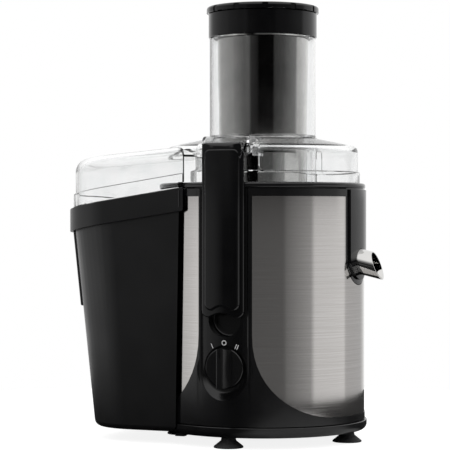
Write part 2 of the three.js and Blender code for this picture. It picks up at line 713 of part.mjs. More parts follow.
// The hood as a filled solid between the rim line and its sloping top.
function hoodSolid(shrink, drop) {
  const half = HOOD_HALF - shrink;
  const farX = HOOD_FAR_X + shrink;
  const nearX = HOOD_NEAR_X + (shrink ? 30 : 0);
  const reach = nearX - farX;
  const top = (inset) => (x) =>
    HOOD_TOP_Z - shrink - inset + HOOD_TOP_SLOPE * (x - HOOD_NEAR_X);
  const level = (inset, z) => ({ sx: 1 - inset / reach, sy: 1 - inset / half, z });
  return lofted(binPlan(half, farX, 46 - shrink, nearX), nearX, [
    level(0, (x) => rimTop(x) + GAP - drop),
    level(0, top(9)),
    level(0.7, top(5.5)),
    level(2.6, top(2.6)),
    level(5.5, top(0.7)),
    level(9, top(0)),
  ]);
}

function hoodSkirt() {
  const plan = binPlan(HOOD_HALF + 1.7, HOOD_FAR_X - 1.8, 47.5, HOOD_NEAR_X);
  return lofted(plan, HOOD_NEAR_X, [
    { sx: 1, sy: 1, z: (x) => rimTop(x) + GAP },
    { sx: 1, sy: 1, z: (x) => 229.5 + RIM_SLOPE * (x + 48) },
  ]);
}

// A body made at the front, and its copy turned round to the back.
const atBothLatches = (body) => [body, body.rotate([0, 0, 180])];

function lugPlate(x) {
  const shape = new THREE.Shape();
  shape.moveTo(-53.5, 246);
  shape.lineTo(-53.5, LUG_TOP_Z - 3);
  shape.quadraticCurveTo(-53.5, LUG_TOP_Z, -57, LUG_TOP_Z);
  shape.lineTo(-79, LUG_TOP_Z);
  shape.quadraticCurveTo(-LID_SKIRT_R, LUG_TOP_Z, -LID_SKIRT_R, 250);
  shape.lineTo(-LID_SKIRT_R, 246);
  return alongX(shape, x - LUG_THICK / 2, x + LUG_THICK / 2, 4);
}

function lid() {
  const padBand = block(-28, 28, -100, 100, 200, 280);
  const pad = common(lidRound(LID_SKIRT_R, LID_SKIRT_R, 0, LID_BOTTOM_Z), padBand);
  const dome = lidRound(LID_R, LID_SKIRT_R, 0, LID_BOTTOM_Z);
  const outside = join(dome, hoodSolid(0, 0), hoodSkirt(), pad);
  const hollow = join(lidRound(LID_R, LID_SKIRT_R, LID_WALL, LID_BOTTOM_Z - 5),
    hoodSolid(LID_WALL, 20));
  const wide = LUG_X + LUG_THICK / 2;
  const narrow = LUG_X - LUG_THICK / 2;
  const pocketWalls = atBothLatches(block(-wide, wide, -100, -53.5, 244.5, 280));
  const pockets = atBothLatches(block(-narrow, narrow, -100, -56, 247, 280));
  const shell = cut(outside, cut(hollow, ...pocketWalls), ...pockets,
    disc(BOWL_RIM_R + GAP, 190, LID_BOTTOM_Z, ROUND));
  const lugs = [-1, 1].flatMap((side) => atBothLatches(lugPlate(side * LUG_X)));
  const chute = disc(CHUTE_R, CHUTE_BOTTOM_Z, CHUTE_TOP_Z, ROUND);
  const bore = disc(CHUTE_R - LID_WALL, CHUTE_BOTTOM_Z - 5, CHUTE_TOP_Z + 5, ROUND);
  const pinBores = [-1, 1].map((side) => rodX(PIN_R + 0.2, side * HINGE_R, HINGE_Z, -30, 30, 16));
  return cut(join(shell, ...lugs, chute), bore, ...pinBores);
}

// ---- latches ----
function armOutline(inset) {
  const half = ARM_HALF - inset;
  const top = ARM_TOP_Z - 4 - inset;
  const low = ARM_BOTTOM_Z + inset;
  const shape = new THREE.Shape();
  shape.moveTo(half, top - 5);
  shape.quadraticCurveTo(half, top, half - 5, top);
  shape.lineTo(-half + 5, top);
  shape.quadraticCurveTo(-half, top, -half, top - 5);
  shape.lineTo(-half, low + 8);
  shape.quadraticCurveTo(-half, low, -half + 7, low);
  shape.quadraticCurveTo(0, low + 8, half - 7, low);
  shape.quadraticCurveTo(half, low, half, low + 8);
  return shape;
}

// Long arm over the side of the body, and the knuckle that reaches in to the pin.
function latchAtFront() {
  const arm = common(alongY(armOutline(0), -OUTSIDE, -60, 5),
    ring(ARM_INSIDE_R, ARM_OUTSIDE_R, 100, 260, ROUND));
  const face = common(alongY(armOutline(4.5), -OUTSIDE, -60, 5),
    ring(ARM_INSIDE_R, ARM_FACE_R, 100, 260, ROUND));
  const side = new THREE.Shape();
  side.moveTo(-HINGE_R, HINGE_Z + KNUCKLE_R);
  side.lineTo(-86, HINGE_Z + KNUCKLE_R - 1.2);
  side.quadraticCurveTo(-ARM_OUTSIDE_R + 0.4, ARM_TOP_Z + 3.5, -ARM_OUTSIDE_R + 0.4, 242);
  side.lineTo(-ARM_INSIDE_R, 240);
  side.lineTo(-ARM_INSIDE_R, HINGE_Z - KNUCKLE_R + 0.1);
  side.lineTo(-HINGE_R, HINGE_Z - KNUCKLE_R);
  side.absarc(-HINGE_R, HINGE_Z, KNUCKLE_R, -Math.PI / 2, Math.PI / 2, false);
  const knuckle = alongX(side, -KNUCKLE_HALF, KNUCKLE_HALF, 8);
  return cut(join(arm, face, knuckle), rodX(PIN_R + 0.3, -HINGE_R, HINGE_Z, -30, 30, 16));
}

function latch(side) {
  return side < 0 ? latchAtFront() : latchAtFront().rotate([0, 0, 180]);
}

function latchPin(side) {
  return rodX(PIN_R, side * HINGE_R, HINGE_Z, -LUG_X - 1, LUG_X + 1, 16);
}

// ---- pusher ----
function pusherSleeve() {
  const wall = 1.5;
  const outer = [[PUSHER_LOW_R - 0.8, PUSHER_BOTTOM_Z + 3], [PUSHER_LOW_R, 270], [PUSHER_TOP_R, 350],
    [PUSHER_TOP_R, COLLAR_TOP_Z - 0.5]];
  return turned([
    [0, PUSHER_BOTTOM_Z], [PUSHER_LOW_R - 4, PUSHER_BOTTOM_Z], ...outer,
    ...outer.map(([r, z]) => [r - wall, z]).reverse(), [0, PUSHER_BOTTOM_Z + 3],
  ]);
}

function pusherCollar() {
  return ring(PUSHER_TOP_R + GAP, COLLAR_R, CHUTE_TOP_Z + GAP, COLLAR_TOP_Z, ROUND);
}

// A disc with shallow grip flutes in its rim, and a ring below that centres it.
function pusherCap() {
  const z = COLLAR_TOP_Z + GAP;
  const flute = block(CAP_R - 0.8, 60, -2.6, 2.6, z - 1, CAP_TOP_Z + 1);
  const notches = around(12).map((angle) =>
    flute.rotate([0, 0, THREE.MathUtils.radToDeg(angle) - 66]));
  const body = turned([
    [0, z], [CAP_R, z], [CAP_R, CAP_TOP_Z - 1.2], [CAP_R - 1.2, CAP_TOP_Z], [0, CAP_TOP_Z]]);
  return join(cut(body, ...notches), ring(34, PUSHER_TOP_R - 2, z - 6, z + 1, ROUND));
}

// ---- pulp container ----
function binSolid(shrink, bottomZ, rise) {
  const half = BIN_HALF - shrink;
  const farX = BIN_FAR_X + shrink;
  const nearX = -30;
  const reach = nearX - farX;
  const lean = (nearX - BIN_TOP_FAR_X - shrink) / reach;
  const splay = (BIN_TOP_HALF - shrink) / half;
  const level = (inset, share, z) => ({
    sx: THREE.MathUtils.lerp(1, lean, share) - inset / reach,
    sy: THREE.MathUtils.lerp(1, splay, share) - inset / half,
    z,
  });
  return lofted(binPlan(half, farX, BIN_CORNER_R - shrink, nearX), nearX, [
    level(5, 0, () => bottomZ),
    level(1.5, 0.01, () => bottomZ + 1.5),
    level(0, 0.03, () => bottomZ + 6),
    level(0, 1, (x) => rimTop(x) + rise),
  ]);
}

function binRim() {
  const plan = binPlan(BIN_TOP_HALF + RIM_PROUD, BIN_TOP_FAR_X - RIM_PROUD, BIN_CORNER_R + 4, -30);
  return lofted(plan, -30, [
    { sx: 1, sy: 1, z: (x) => rimTop(x) - RIM_HEIGHT },
    { sx: 1, sy: 1, z: rimTop },
  ]);
}

// A panel stands proud on the far end, and its lower ledge is the finger grip.
function gripPanel() {
  const plan = binPlan(BIN_HALF, BIN_FAR_X - 3.6, BIN_CORNER_R, -80);
  const panel = lofted(plan, -30, [
    { sx: 1.11, sy: 1, z: () => 115 },
    { sx: 1.187, sy: 1, z: (x) => rimTop(x) - 10 },
  ]);
  return common(panel, block(-200, -120, -46, 46, 100, 220));
}

function pulpContainer() {
  const body = join(binSolid(0, BIN_BOTTOM_Z, 0), binRim(), gripPanel());
  const roomForBody = disc(BIN_FACE_R, 0, 260, ROUND);
  const hollow = cut(binSolid(BIN_WALL, BIN_BOTTOM_Z + BIN_WALL, 10),
    disc(BIN_FACE_R + BIN_WALL, 0, 260, ROUND));
  const tabs = [[-52, -42], [-Math.PI * STEEL_R + 42, -Math.PI * STEEL_R + 52]].map(([from, to]) =>
    wrapped(from, to, () => 202, () => 216, STEEL_R + 0.9, BIN_FACE_R + 2, 4));
  return join(cut(body, roomForBody, hollow), ...tabs);
}

// ---- assembly ----
const juicer = new THREE.Group();
const onDriveAxis = new THREE.Group();
juicer.add(onDriveAxis);

function place(name, body, look, x = 0, y = 0) {
  const mesh = meshOf(name, body, look);
  mesh.position.set(x, y, 0);
  onDriveAxis.add(mesh);
}

place('motor_housing', motorHousing(), SATIN_BLACK);
place('bottom_cover', bottomCover(), SATIN_BLACK);
place('spout_side_panel', steelPanel(1), BRUSHED_STEEL);
place('bin_side_panel', steelPanel(-1), BRUSHED_STEEL);
footPlaces().forEach(([x, y], i) => place(`suction_foot_${i + 1}`, suctionFoot(), RUBBER, x, y));
around(4, Math.PI / 4).forEach((angle, i) => place(`cover_screw_${i + 1}`, coverScrew(),
  MACHINED_STEEL, BOSS_CIRCLE_R * Math.cos(angle), BOSS_CIRCLE_R * Math.sin(angle)));
place('cord_gland', cordGland(), RUBBER);

place('motor_bracket_lower', lowerBracket(), MACHINED_STEEL);
place('motor_bracket_upper', upperBracket(), MACHINED_STEEL);
boltPlaces.forEach(([x, y], i) => place(`motor_bolt_${i + 1}`, motorBolt(), MACHINED_STEEL, x, y));
place('bearing_lower', bearing(BEARING_LOW_Z), MACHINED_STEEL);
place('bearing_upper', bearing(BEARING_HIGH_Z), MACHINED_STEEL);
place('stator_core', statorCore(), LAMINATED_STEEL);
place('field_coil_left', fieldCoil(-1), COPPER);
place('field_coil_right', fieldCoil(1), COPPER);
place('brush_holder_left', brushHolder(-1), BRASS);
place('brush_holder_right', brushHolder(1), BRASS);
place('carbon_brush_left', carbonBrush(-1), CARBON);
place('carbon_brush_right', carbonBrush(1), CARBON);
motorMountPlaces().forEach(([x, y], i) => place(`motor_mount_${i + 1}`, rubberMount(), RUBBER, x, y));
place('shaft_seal', shaftSeal(), RUBBER);

place('motor_shaft', motorShaft(), MACHINED_STEEL);
place('rotor_core', rotorCore(), LAMINATED_STEEL);
place('commutator', commutator(), COPPER);
place('cooling_fan', coolingFan(), PALE_PLASTIC);
place('drive_coupling', driveCoupling(), GREY_PLASTIC);
place('basket_base', basketBase(), SATIN_BLACK);
place('filter_basket', filterBasket(), POLISHED_STEEL);
place('grater_disc', graterDisc(), POLISHED_STEEL);

place('rotary_switch', rotarySwitch(), PALE_PLASTIC);
place('control_board', controlBoard(), BOARD_GREEN);
place('interlock_switch', interlockSwitch(), PALE_PLASTIC);
place('speed_knob', speedKnob(), GLOSS_BLACK);
place('switch_spindle', switchSpindle(), MACHINED_STEEL);

place('juice_bowl', juiceBowl(), GLOSS_BLACK);
place('juice_spout', juiceSpout(), POLISHED_STEEL);

place('lid', lid(), CLEAR);
place('latch_pin_front', latchPin(-1), MACHINED_STEEL);
place('latch_pin_back', latchPin(1), MACHINED_STEEL);
place('latch_front', latch(-1), GLOSS_BLACK);
place('latch_back', latch(1), GLOSS_BLACK);

place('pusher_sleeve', pusherSleeve(), POLISHED_STEEL);
place('pusher_collar', pusherCollar(), GLOSS_BLACK);
place('pusher_cap', pusherCap(), GLOSS_BLACK);

place('pulp_container', pulpContainer(), SATIN_BLACK);

// The origin is the middle of the whole object's footprint, on the table.
juicer.updateMatrixWorld(true);
const bounds = new THREE.Box3().setFromObject(juicer, true);
const middle = bounds.getCenter(new THREE.Vector3());
onDriveAxis.position.set(-middle.x, -middle.y, -bounds.min.z);

export default juicer;
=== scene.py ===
import math

import bpy
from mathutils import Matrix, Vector


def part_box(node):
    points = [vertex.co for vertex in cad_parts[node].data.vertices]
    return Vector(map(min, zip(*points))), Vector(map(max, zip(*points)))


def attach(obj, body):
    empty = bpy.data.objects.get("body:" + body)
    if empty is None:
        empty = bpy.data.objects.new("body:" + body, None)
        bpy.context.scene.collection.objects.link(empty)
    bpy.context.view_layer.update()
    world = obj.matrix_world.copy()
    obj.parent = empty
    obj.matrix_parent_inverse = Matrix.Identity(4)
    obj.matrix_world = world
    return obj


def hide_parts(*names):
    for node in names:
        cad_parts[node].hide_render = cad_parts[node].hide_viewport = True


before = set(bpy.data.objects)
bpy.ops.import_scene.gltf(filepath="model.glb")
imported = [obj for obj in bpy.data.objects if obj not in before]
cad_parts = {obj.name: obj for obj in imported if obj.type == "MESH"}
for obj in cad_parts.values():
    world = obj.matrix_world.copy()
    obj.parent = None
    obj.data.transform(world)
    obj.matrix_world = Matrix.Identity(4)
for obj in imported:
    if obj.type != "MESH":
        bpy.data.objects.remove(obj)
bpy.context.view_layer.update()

# ---- Table, camera and studio light ----
# The juicer stands on a plain white table. Pieces are modelled in millimetres round its
# upright drive axis, and set_in_place then shrinks them to metres and moves them there.
shaft_low, shaft_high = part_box("motor_shaft")
drive_axis = ((shaft_low[0] + shaft_high[0]) / 2, (shaft_low[1] + shaft_high[1]) / 2, 0)
VIEW_TURN = math.radians(21.5)
VIEW_DISTANCE = 1.623
VIEW_HEIGHT = 0.189

camera_data = bpy.data.cameras.new("camera")
camera_data.lens = 148
camera_data.sensor_width = 36
camera = bpy.data.objects.new("camera", camera_data)
bpy.context.scene.collection.objects.link(camera)
camera.location = (
    drive_axis[0] + VIEW_DISTANCE * math.sin(VIEW_TURN),
    drive_axis[1] - VIEW_DISTANCE * math.cos(VIEW_TURN),
    VIEW_HEIGHT,
)
camera.rotation_euler = (math.radians(89.907), 0, VIEW_TURN + math.radians(1.167))
bpy.context.scene.camera = camera
bpy.context.scene.view_settings.view_transform = "Standard"


def add_node(tree, kind, inputs=None, **settings):
    """Adds one node: inputs are values or sockets to link, settings are its own fields."""
    made = tree.nodes.new(kind)
    for field, value in settings.items():
        setattr(made, field, value)
    for socket, value in (inputs or {}).items():
        if isinstance(value, bpy.types.NodeSocket):
            tree.links.new(value, made.inputs[socket])
        else:
            made.inputs[socket].default_value = value
    return made


def set_stops(ramp_node, stops):
    """Places the stops of a colour ramp: each is (position, colour)."""
    elements = ramp_node.color_ramp.elements
    while len(elements) > 1:
        elements.remove(elements[-1])
    elements[0].position, elements[0].color = stops[0]
    for position, colour in stops[1:]:
        elements.new(position).color = colour


# Soft boxes and black flags stand in a ring round the table: brightness by degrees to
# the right of the camera, as seen by level surfaces and, over the boxes, by tall ones.
low_ring = [
    (-180, 0.95), (-150, 0.9), (-130, 0.6), (-112, 0.6), (-76, 0.9), (-68, 0.5),
    (-62, 0.36), (-52, 0.26), (-46, 0.12), (-41, 0.02), (-24, 0.002), (-16, 0.12), (23, 0.13),
    (26, 0.2), (56, 0.42), (60, 0.82), (104, 0.9), (107, 0.6), (145, 0.55), (165, 0.95),
    (180, 0.95),
]
high_ring = [
    (-180, 0.9), (-150, 0.8), (-131, 0.45), (-80, 0.3), (-76, 0.24), (-48, 0.12),
    (-36, 0.13), (-30, 0.04), (-14, 0.015), (-10, 0.002), (26, 0.002), (28, 0.04),
    (52, 0.07), (68, 0.14), (90, 0.22), (98, 0.6), (125, 0.75), (142, 0.95), (180, 0.95),
]
world = bpy.data.worlds.new("studio")
bpy.context.scene.world = world
world.use_nodes = True
sky = world.node_tree
sky.nodes.clear()
heading = add_node(sky, "ShaderNodeTexCoord")
from_camera = add_node(sky, "ShaderNodeMapping", {
    "Vector": heading.outputs["Generated"],
    "Rotation": (0, 0, math.pi / 2 - VIEW_TURN),
}, vector_type="POINT")
ring_place = add_node(sky, "ShaderNodeTexGradient", {
    "Vector": from_camera.outputs["Vector"]}, gradient_type="RADIAL")
ring_lights = []
for ring in (low_ring, high_ring):
    ramp = add_node(sky, "ShaderNodeValToRGB", {"Fac": ring_place.outputs["Fac"]})
    set_stops(ramp, [
        (0.5 + degrees / 360, (level, level, level, 1)) for degrees, level in ring])
    ring_lights.append(ramp.outputs["Color"])
upward = add_node(sky, "ShaderNodeSeparateXYZ", {"Vector": heading.outputs["Generated"]})
over_boxes = add_node(sky, "ShaderNodeMapRange", {
    "Value": upward.outputs["Z"], "From Min": 0.012, "From Max": 0.018})
both_rings = add_node(sky, "ShaderNodeMixRGB", {
    "Fac": over_boxes.outputs["Result"], "Color1": ring_lights[0], "Color2": ring_lights[1]})
overhead = add_node(sky, "ShaderNodeMapRange", {
    "Value": upward.outputs["Z"], "From Min": 0.15, "From Max": 0.5})
ring_and_top = add_node(sky, "ShaderNodeMixRGB", {
    "Fac": overhead.outputs["Result"], "Color1": both_rings.outputs["Color"],
    "Color2": (1.1, 1.1, 1.1, 1)})
# The eye meets a white wall, straight on or through clear plastic.
ray = add_node(sky, "ShaderNodeLightPath")
bounces = add_node(sky, "ShaderNodeMath", {
    0: ray.outputs["Glossy Depth"], 1: ray.outputs["Diffuse Depth"]}, operation="ADD")
seen = add_node(sky, "ShaderNodeMath", {0: bounces.outputs[0], 1: 0.5}, operation="LESS_THAN")
studio_light = add_node(sky, "ShaderNodeBackground", {
    "Color": ring_and_top.outputs["Color"], "Strength": 1.0})
white_wall = add_node(sky, "ShaderNodeBackground", {
    "Color": (1, 1, 1, 1), "Strength": 1.0})
either = add_node(sky, "ShaderNodeMixShader", {
    "Fac": seen.outputs[0], 1: studio_light.outputs[0], 2: white_wall.outputs[0]})
add_node(sky, "ShaderNodeOutputWorld", {"Surface": either.outputs[0]})


def linear(hex_colour):
    """An sRGB hex colour as the linear colour that a shader takes."""
    parts = [int(hex_colour[i:i + 2], 16) / 255 for i in (1, 3, 5)]
    return [p / 12.92 if p < 0.04045 else ((p + 0.055) / 1.055) ** 2.4 for p in parts] + [1]


def new_finish(name):
    """A material with only a shader joined to its output."""
    material = bpy.data.materials.new(name)
    material.use_nodes = True
    tree = material.node_tree
    tree.nodes.clear()
    shader = add_node(tree, "ShaderNodeBsdfPrincipled")
    add_node(tree, "ShaderNodeOutputMaterial", {"Surface": shader.outputs[0]})
    return material, tree, shader


bpy.ops.object.select_all(action="DESELECT")
bpy.ops.mesh.primitive_circle_add(vertices=96, radius=0.5, fill_type="NGON")
table_top = bpy.context.object
table_top.name = "table_top"
white_laminate, tree, shader = new_finish("white_laminate")
shader.inputs["Roughness"].default_value = 0.8
shader.inputs["Specular IOR Level"].default_value = 0.05
# The table is lit from beneath for the eye alone, so that it meets the wall unseen. To
# reflections it
# shows a painted reflection: painted dark round the feet, painted white by the spout.
ray = add_node(tree, "ShaderNodeLightPath")
place = add_node(tree, "ShaderNodeTexCoord")
from_white_patch = add_node(tree, "ShaderNodeVectorMath", {
    0: place.outputs["Object"], 1: (0.2, -0.12, 0)}, operation="DISTANCE")
off_white_patch = add_node(tree, "ShaderNodeMapRange", {
    "Value": from_white_patch.outputs["Value"], "From Min": 0.13, "From Max": 0.17})
# Painted reflection colours, seen only by glossy rays: white in a round patch off the spout side,
# dark everywhere else.
painted_reflection = add_node(tree, "ShaderNodeMixRGB", {
    "Fac": off_white_patch.outputs["Result"], "Color1": linear("#f0f0f0"),
    "Color2": linear("#202020")})
tone = add_node(tree, "ShaderNodeMixRGB", {
    "Fac": ray.outputs["Is Glossy Ray"], "Color1": linear("#9a9a9a"),
    "Color2": painted_reflection.outputs["Color"]})
tree.links.new(tone.outputs["Color"], shader.inputs["Base Color"])
glow = add_node(tree, "ShaderNodeMath", {
    0: ray.outputs["Is Camera Ray"], 1: 0.86}, operation="MULTIPLY")
shader.inputs["Emission Color"].default_value = (1, 1, 1, 1)
tree.links.new(glow.outputs[0], shader.inputs["Emission Strength"])
table_top.data.materials.append(white_laminate)


# ---- Bottom cover ----
# A shallow tray injection moulded in black ABS, screwed up into the housing. It closes the
# motor off from below, lets cooling air in through eight slots and carries the feet.
COVER_R = 91
COVER_LOW = 9
COVER_TOP = 17.7


def only(piece):
    """Selects one piece alone."""
    bpy.ops.object.select_all(action="DESELECT")
    piece.select_set(True)
    bpy.context.view_layer.objects.active = piece


def curve(across, up, radius, start, end, steps=6):
    """Points along an arc, in degrees from start to end."""
    turns = [math.radians(start + (end - start) * i / steps) for i in range(steps + 1)]
    return [(across + radius * math.cos(t), up + radius * math.sin(t)) for t in turns]


def start_point(name, place):
    """One loose vertex, open for editing."""
    bpy.ops.object.select_all(action="DESELECT")
    bpy.ops.mesh.primitive_plane_add(size=1, location=place)
    piece = bpy.context.object
    piece.name = name
    bpy.ops.object.transform_apply()
    bpy.ops.object.mode_set(mode="EDIT")
    bpy.ops.mesh.select_mode(type="VERT")
    bpy.ops.mesh.select_all(action="SELECT")
    bpy.ops.mesh.merge(type="CENTER")
    return piece


def trace(points):
    """Extrudes the open vertex from point to point."""
    for here, there in zip(points, points[1:]):
        move = [b - a for a, b in zip(here, there)]
        bpy.ops.mesh.extrude_vertices_move(TRANSFORM_OT_translate={"value": move})


def close_up():
    """Merges what meets, turns the faces outwards and leaves edit mode."""
    bpy.ops.mesh.select_all(action="SELECT")
    bpy.ops.mesh.remove_doubles(threshold=0.001)
    bpy.ops.mesh.normals_make_consistent(inside=False)
    bpy.ops.object.mode_set(mode="OBJECT")


def turned(name, profile, steps=96):
    """A profile of (radius, height) spun round the upright axis."""
    points = [(radius, 0, height) for radius, height in profile]
    piece = start_point(name, points[0])
    trace(points)
    bpy.ops.mesh.select_all(action="SELECT")
    bpy.ops.mesh.spin(steps=steps, angle=math.tau, center=(0, 0, 0), axis=(0, 0, 1))
    close_up()
    return piece


def pushed(name, outline, push):
    """A flat outline of 3-D points, filled and pushed along a vector."""
    piece = start_point(name, outline[0])
    trace(list(outline) + [outline[0]])
    bpy.ops.mesh.select_all(action="SELECT")
    bpy.ops.mesh.remove_doubles(threshold=0.001)
    bpy.ops.mesh.edge_face_add()
    bpy.ops.mesh.extrude_region_move(TRANSFORM_OT_translate={"value": push})
    close_up()
    return piece


def combine(piece, how, *tools):
    """Cuts (DIFFERENCE), adds (UNION) or keeps the common part (INTERSECT) of tools."""
    for tool in tools:
        only(piece)
        step = piece.modifiers.new("combine", "BOOLEAN")
        step.operation = how
        step.object = tool
        step.solver = "MANIFOLD"
        bpy.ops.object.modifier_apply(modifier=step.name)
        bpy.data.objects.remove(tool, do_unlink=True)
    return piece


def soften(piece, width, segments=2, angle=35):
    """Rounds every edge sharper than the angle."""
    only(piece)
    step = piece.modifiers.new("soften", "BEVEL")
    step.width = width
    step.segments = segments
    step.limit_method = "ANGLE"
    step.angle_limit = math.radians(angle)
    step.harden_normals = False
    bpy.ops.object.modifier_apply(modifier=step.name)
    return piece


def copied(piece, turn=0, shift=(0, 0, 0)):
    """A copy with its own mesh, turned round the axis by degrees and then shifted."""
    only(piece)
    bpy.ops.object.duplicate()
    twin = bpy.context.object
    twin.rotation_euler.z = math.radians(turn)
    twin.location = shift
    bpy.ops.object.transform_apply()
    return twin


def turned_round(piece, turn):
    """The piece itself, turned round the axis by degrees."""
    only(piece)
    piece.rotation_euler.z = math.radians(turn)
    bpy.ops.object.transform_apply()
    return piece


def made_one(pieces):
    """Joins loose pieces as one object, without merging them."""
    only(pieces[0])
    for piece in pieces:
        piece.select_set(True)
    bpy.ops.object.join()
    return bpy.context.object


def set_in_place(piece, finish, body, slot, *nodes, smooth=35):
    """Shrinks a finished piece to metres on the drive axis, hangs it on its body and hides the
    CAD nodes it stands for.
    """
    only(piece)
    piece.scale = (0.001, 0.001, 0.001)
    piece.location = drive_axis
    bpy.ops.object.transform_apply()
    bpy.ops.object.shade_smooth_by_angle(angle=math.radians(smooth))
    even = piece.modifiers.new("even_shading", "WEIGHTED_NORMAL")
    even.keep_sharp = True
    bpy.ops.object.modifier_apply(modifier=even.name)
    piece.data.materials.clear()
    piece.data.materials.append(finish)
    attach(piece, body)
    if nodes:
        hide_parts(*nodes)


# Black ABS from a spark-eroded mould: a fine even grain that scatters light softly. The
# real grain is about 0.1 mm; it is drawn at 0.6 mm so that it shows.
satin_black_abs, tree, shader = new_finish("satin_black_abs")
place = add_node(tree, "ShaderNodeTexCoord")
grain = add_node(tree, "ShaderNodeTexNoise", {
    "Vector": place.outputs["Object"], "Scale": 1600, "Detail": 2, "Roughness": 0.6})
cloud = add_node(tree, "ShaderNodeTexNoise", {
    "Vector": place.outputs["Object"], "Scale": 30, "Detail": 3})
tone = add_node(tree, "ShaderNodeValToRGB", {"Fac": cloud.outputs["Fac"]})
set_stops(tone, [(0.3, linear("#0e0e0f")), (0.7, linear("#121213"))])
gloss = add_node(tree, "ShaderNodeMapRange", {
    "Value": cloud.outputs["Fac"], "From Min": 0.3, "From Max": 0.7,
    "To Min": 0.3, "To Max": 0.37})
bump = add_node(tree, "ShaderNodeBump", {
    "Height": grain.outputs["Fac"], "Strength": 0.12, "Distance": 0.0001})
tree.links.new(tone.outputs["Color"], shader.inputs["Base Color"])
tree.links.new(gloss.outputs["Result"], shader.inputs["Roughness"])
tree.links.new(bump.outputs["Normal"], shader.inputs["Normal"])
shader.inputs["IOR"].default_value = 1.53

# The body's own mould is brighter: a low gloss with a softer, darker reflection.
body_black_abs, tree, shader = new_finish("semi_gloss_black_abs")
place = add_node(tree, "ShaderNodeTexCoord")
cloud = add_node(tree, "ShaderNodeTexNoise", {
    "Vector": place.outputs["Object"], "Scale": 60, "Detail": 3})
tone = add_node(tree, "ShaderNodeValToRGB", {"Fac": cloud.outputs["Fac"]})
set_stops(tone, [(0.3, linear("#0a0a0b")), (0.7, linear("#0e0e0f"))])
gloss = add_node(tree, "ShaderNodeMapRange", {
    "Value": cloud.outputs["Fac"], "From Min": 0.3, "From Max": 0.7,
    "To Min": 0.17, "To Max": 0.22})
bump = add_node(tree, "ShaderNodeBump", {
    "Height": cloud.outputs["Fac"], "Strength": 0.03, "Distance": 0.0005})
tree.links.new(tone.outputs["Color"], shader.inputs["Base Color"])
tree.links.new(gloss.outputs["Result"], shader.inputs["Roughness"])
tree.links.new(bump.outputs["Normal"], shader.inputs["Normal"])
shader.inputs["IOR"].default_value = 1.5

cover = turned("bottom_cover_tray", [
    (0, COVER_LOW), *curve(COVER_R - 5, COVER_LOW + 5, 5, -90, 0), (COVER_R, COVER_TOP - 0.4),
    (COVER_R - 0.4, COVER_TOP), (86, COVER_TOP), (86, 11.5), (0, 11.5)], steps=120)
lugs = [pushed("lug", [(-49, y, 7.4), (-41, y, 7.4), (-41, y, 10), (-49, y, 10)], (0, 6, 0))
        for y in (-78, 72)]
combine(cover, "UNION", *lugs)
vent = pushed("vent", [(x, y, 0) for x, y in
              curve(56, 0, 2, -90, 90, 8) + curve(36, 0, 2, 90, 270, 8)], (0, 0, 20))
vents = [copied(vent, 22.5 + 45 * i) for i in range(8)]
bpy.data.objects.remove(vent)
foot_hole = turned("foot_hole", [(0, 0), (3.8, 0), (3.8, 20), (0, 20)], steps=24)
foot_holes = [copied(foot_hole, shift=(78 * x, 78 * y, 0))
              for x, y in ((0, -1), (1, 0), (0, 1), (-1, 0))]
bpy.data.objects.remove(foot_hole)
screw_hole = turned("screw_hole", [(0, 0), (4, 0), (4, 12.3), (2.3, 12.3), (2.3, 20), (0, 20)],
                    steps=24)
diagonal = 80 * math.sqrt(0.5)
screw_holes = [copied(screw_hole, shift=(diagonal * x, diagonal * y, 0))
               for x, y in ((1, 1), (-1, 1), (-1, -1), (1, -1))]
bpy.data.objects.remove(screw_hole)
combine(cover, "DIFFERENCE", made_one(vents + foot_holes + screw_holes))
set_in_place(cover, body_black_abs, "base", "satin_black_plastic", "bottom_cover")

# ---- Suction feet ----
# Four soft rubber cups, moulded with a stem that snaps into the cover. They hold the
# machine still on a smooth worktop.
FOOT_CIRCLE_R = 78
nitrile_rubber, tree, shader = new_finish("nitrile_rubber")
place = add_node(tree, "ShaderNodeTexCoord")
bloom = add_node(tree, "ShaderNodeTexNoise", {
    "Vector": place.outputs["Object"], "Scale": 220, "Detail": 4})
tone = add_node(tree, "ShaderNodeValToRGB", {"Fac": bloom.outputs["Fac"]})
set_stops(tone, [(0.3, linear("#19191a")), (0.75, linear("#262627"))])
bump = add_node(tree, "ShaderNodeBump", {
    "Height": bloom.outputs["Fac"], "Strength": 0.15, "Distance": 0.0002})
tree.links.new(tone.outputs["Color"], shader.inputs["Base Color"])
tree.links.new(bump.outputs["Normal"], shader.inputs["Normal"])
shader.inputs["Roughness"].default_value = 0.7

foot = turned("suction_cup", [
    (0, 4), (9, 1.6), (10.5, 0), (12.5, 0), (12.5, 1.2), (6.5, 6), (6, 8.7), (3.4, 8.7),
    (3.4, 11.8), (5, 11.8), (4, 14), (0, 14)], steps=48)
soften(foot, 0.3)
for number, (x, y) in enumerate(((0, -1), (1, 0), (0, 1), (-1, 0)), start=1):
    cup = copied(foot, shift=(FOOT_CIRCLE_R * x, FOOT_CIRCLE_R * y, 0))
    cup.name = f"suction_cup_{number}"
    set_in_place(cup, nitrile_rubber, "base", "rubber", f"suction_foot_{number}")
bpy.data.objects.remove(foot)

# ---- Motor housing ----
# The body, one black ABS moulding. Shallow pockets take the two steel panels, and each
# latch column has a channel down its middle that ends round, with a deep finger notch.
SKIN_R = 89.3
STEEL_R = 88.8
STEEL_THICK = 0.8
STEEL_TOP = 210.6
STEEL_LOW = 24.5
COLUMN_HALF = 24.5
CORNER_ARC = 105
CORNER_Z = 95
CORNER_POWER = 2.2
KNOB_Z = 67.2
NOTCH_Z = 107.6
NOTCH_R = 14.6
CHANNEL_HALF = 21.5
CHANNEL_R = 87.9


def steel_edge(share):
    """The panel's lower corner, as (along, up): share 0 beside the column, 1 level."""
    across = math.cos(share * math.pi / 2) ** (2 / CORNER_POWER)
    rest = math.sin(share * math.pi / 2) ** (2 / CORNER_POWER)
    return (CORNER_ARC - (CORNER_ARC - COLUMN_HALF) * across,
            CORNER_Z - (CORNER_Z - STEEL_LOW) * rest)


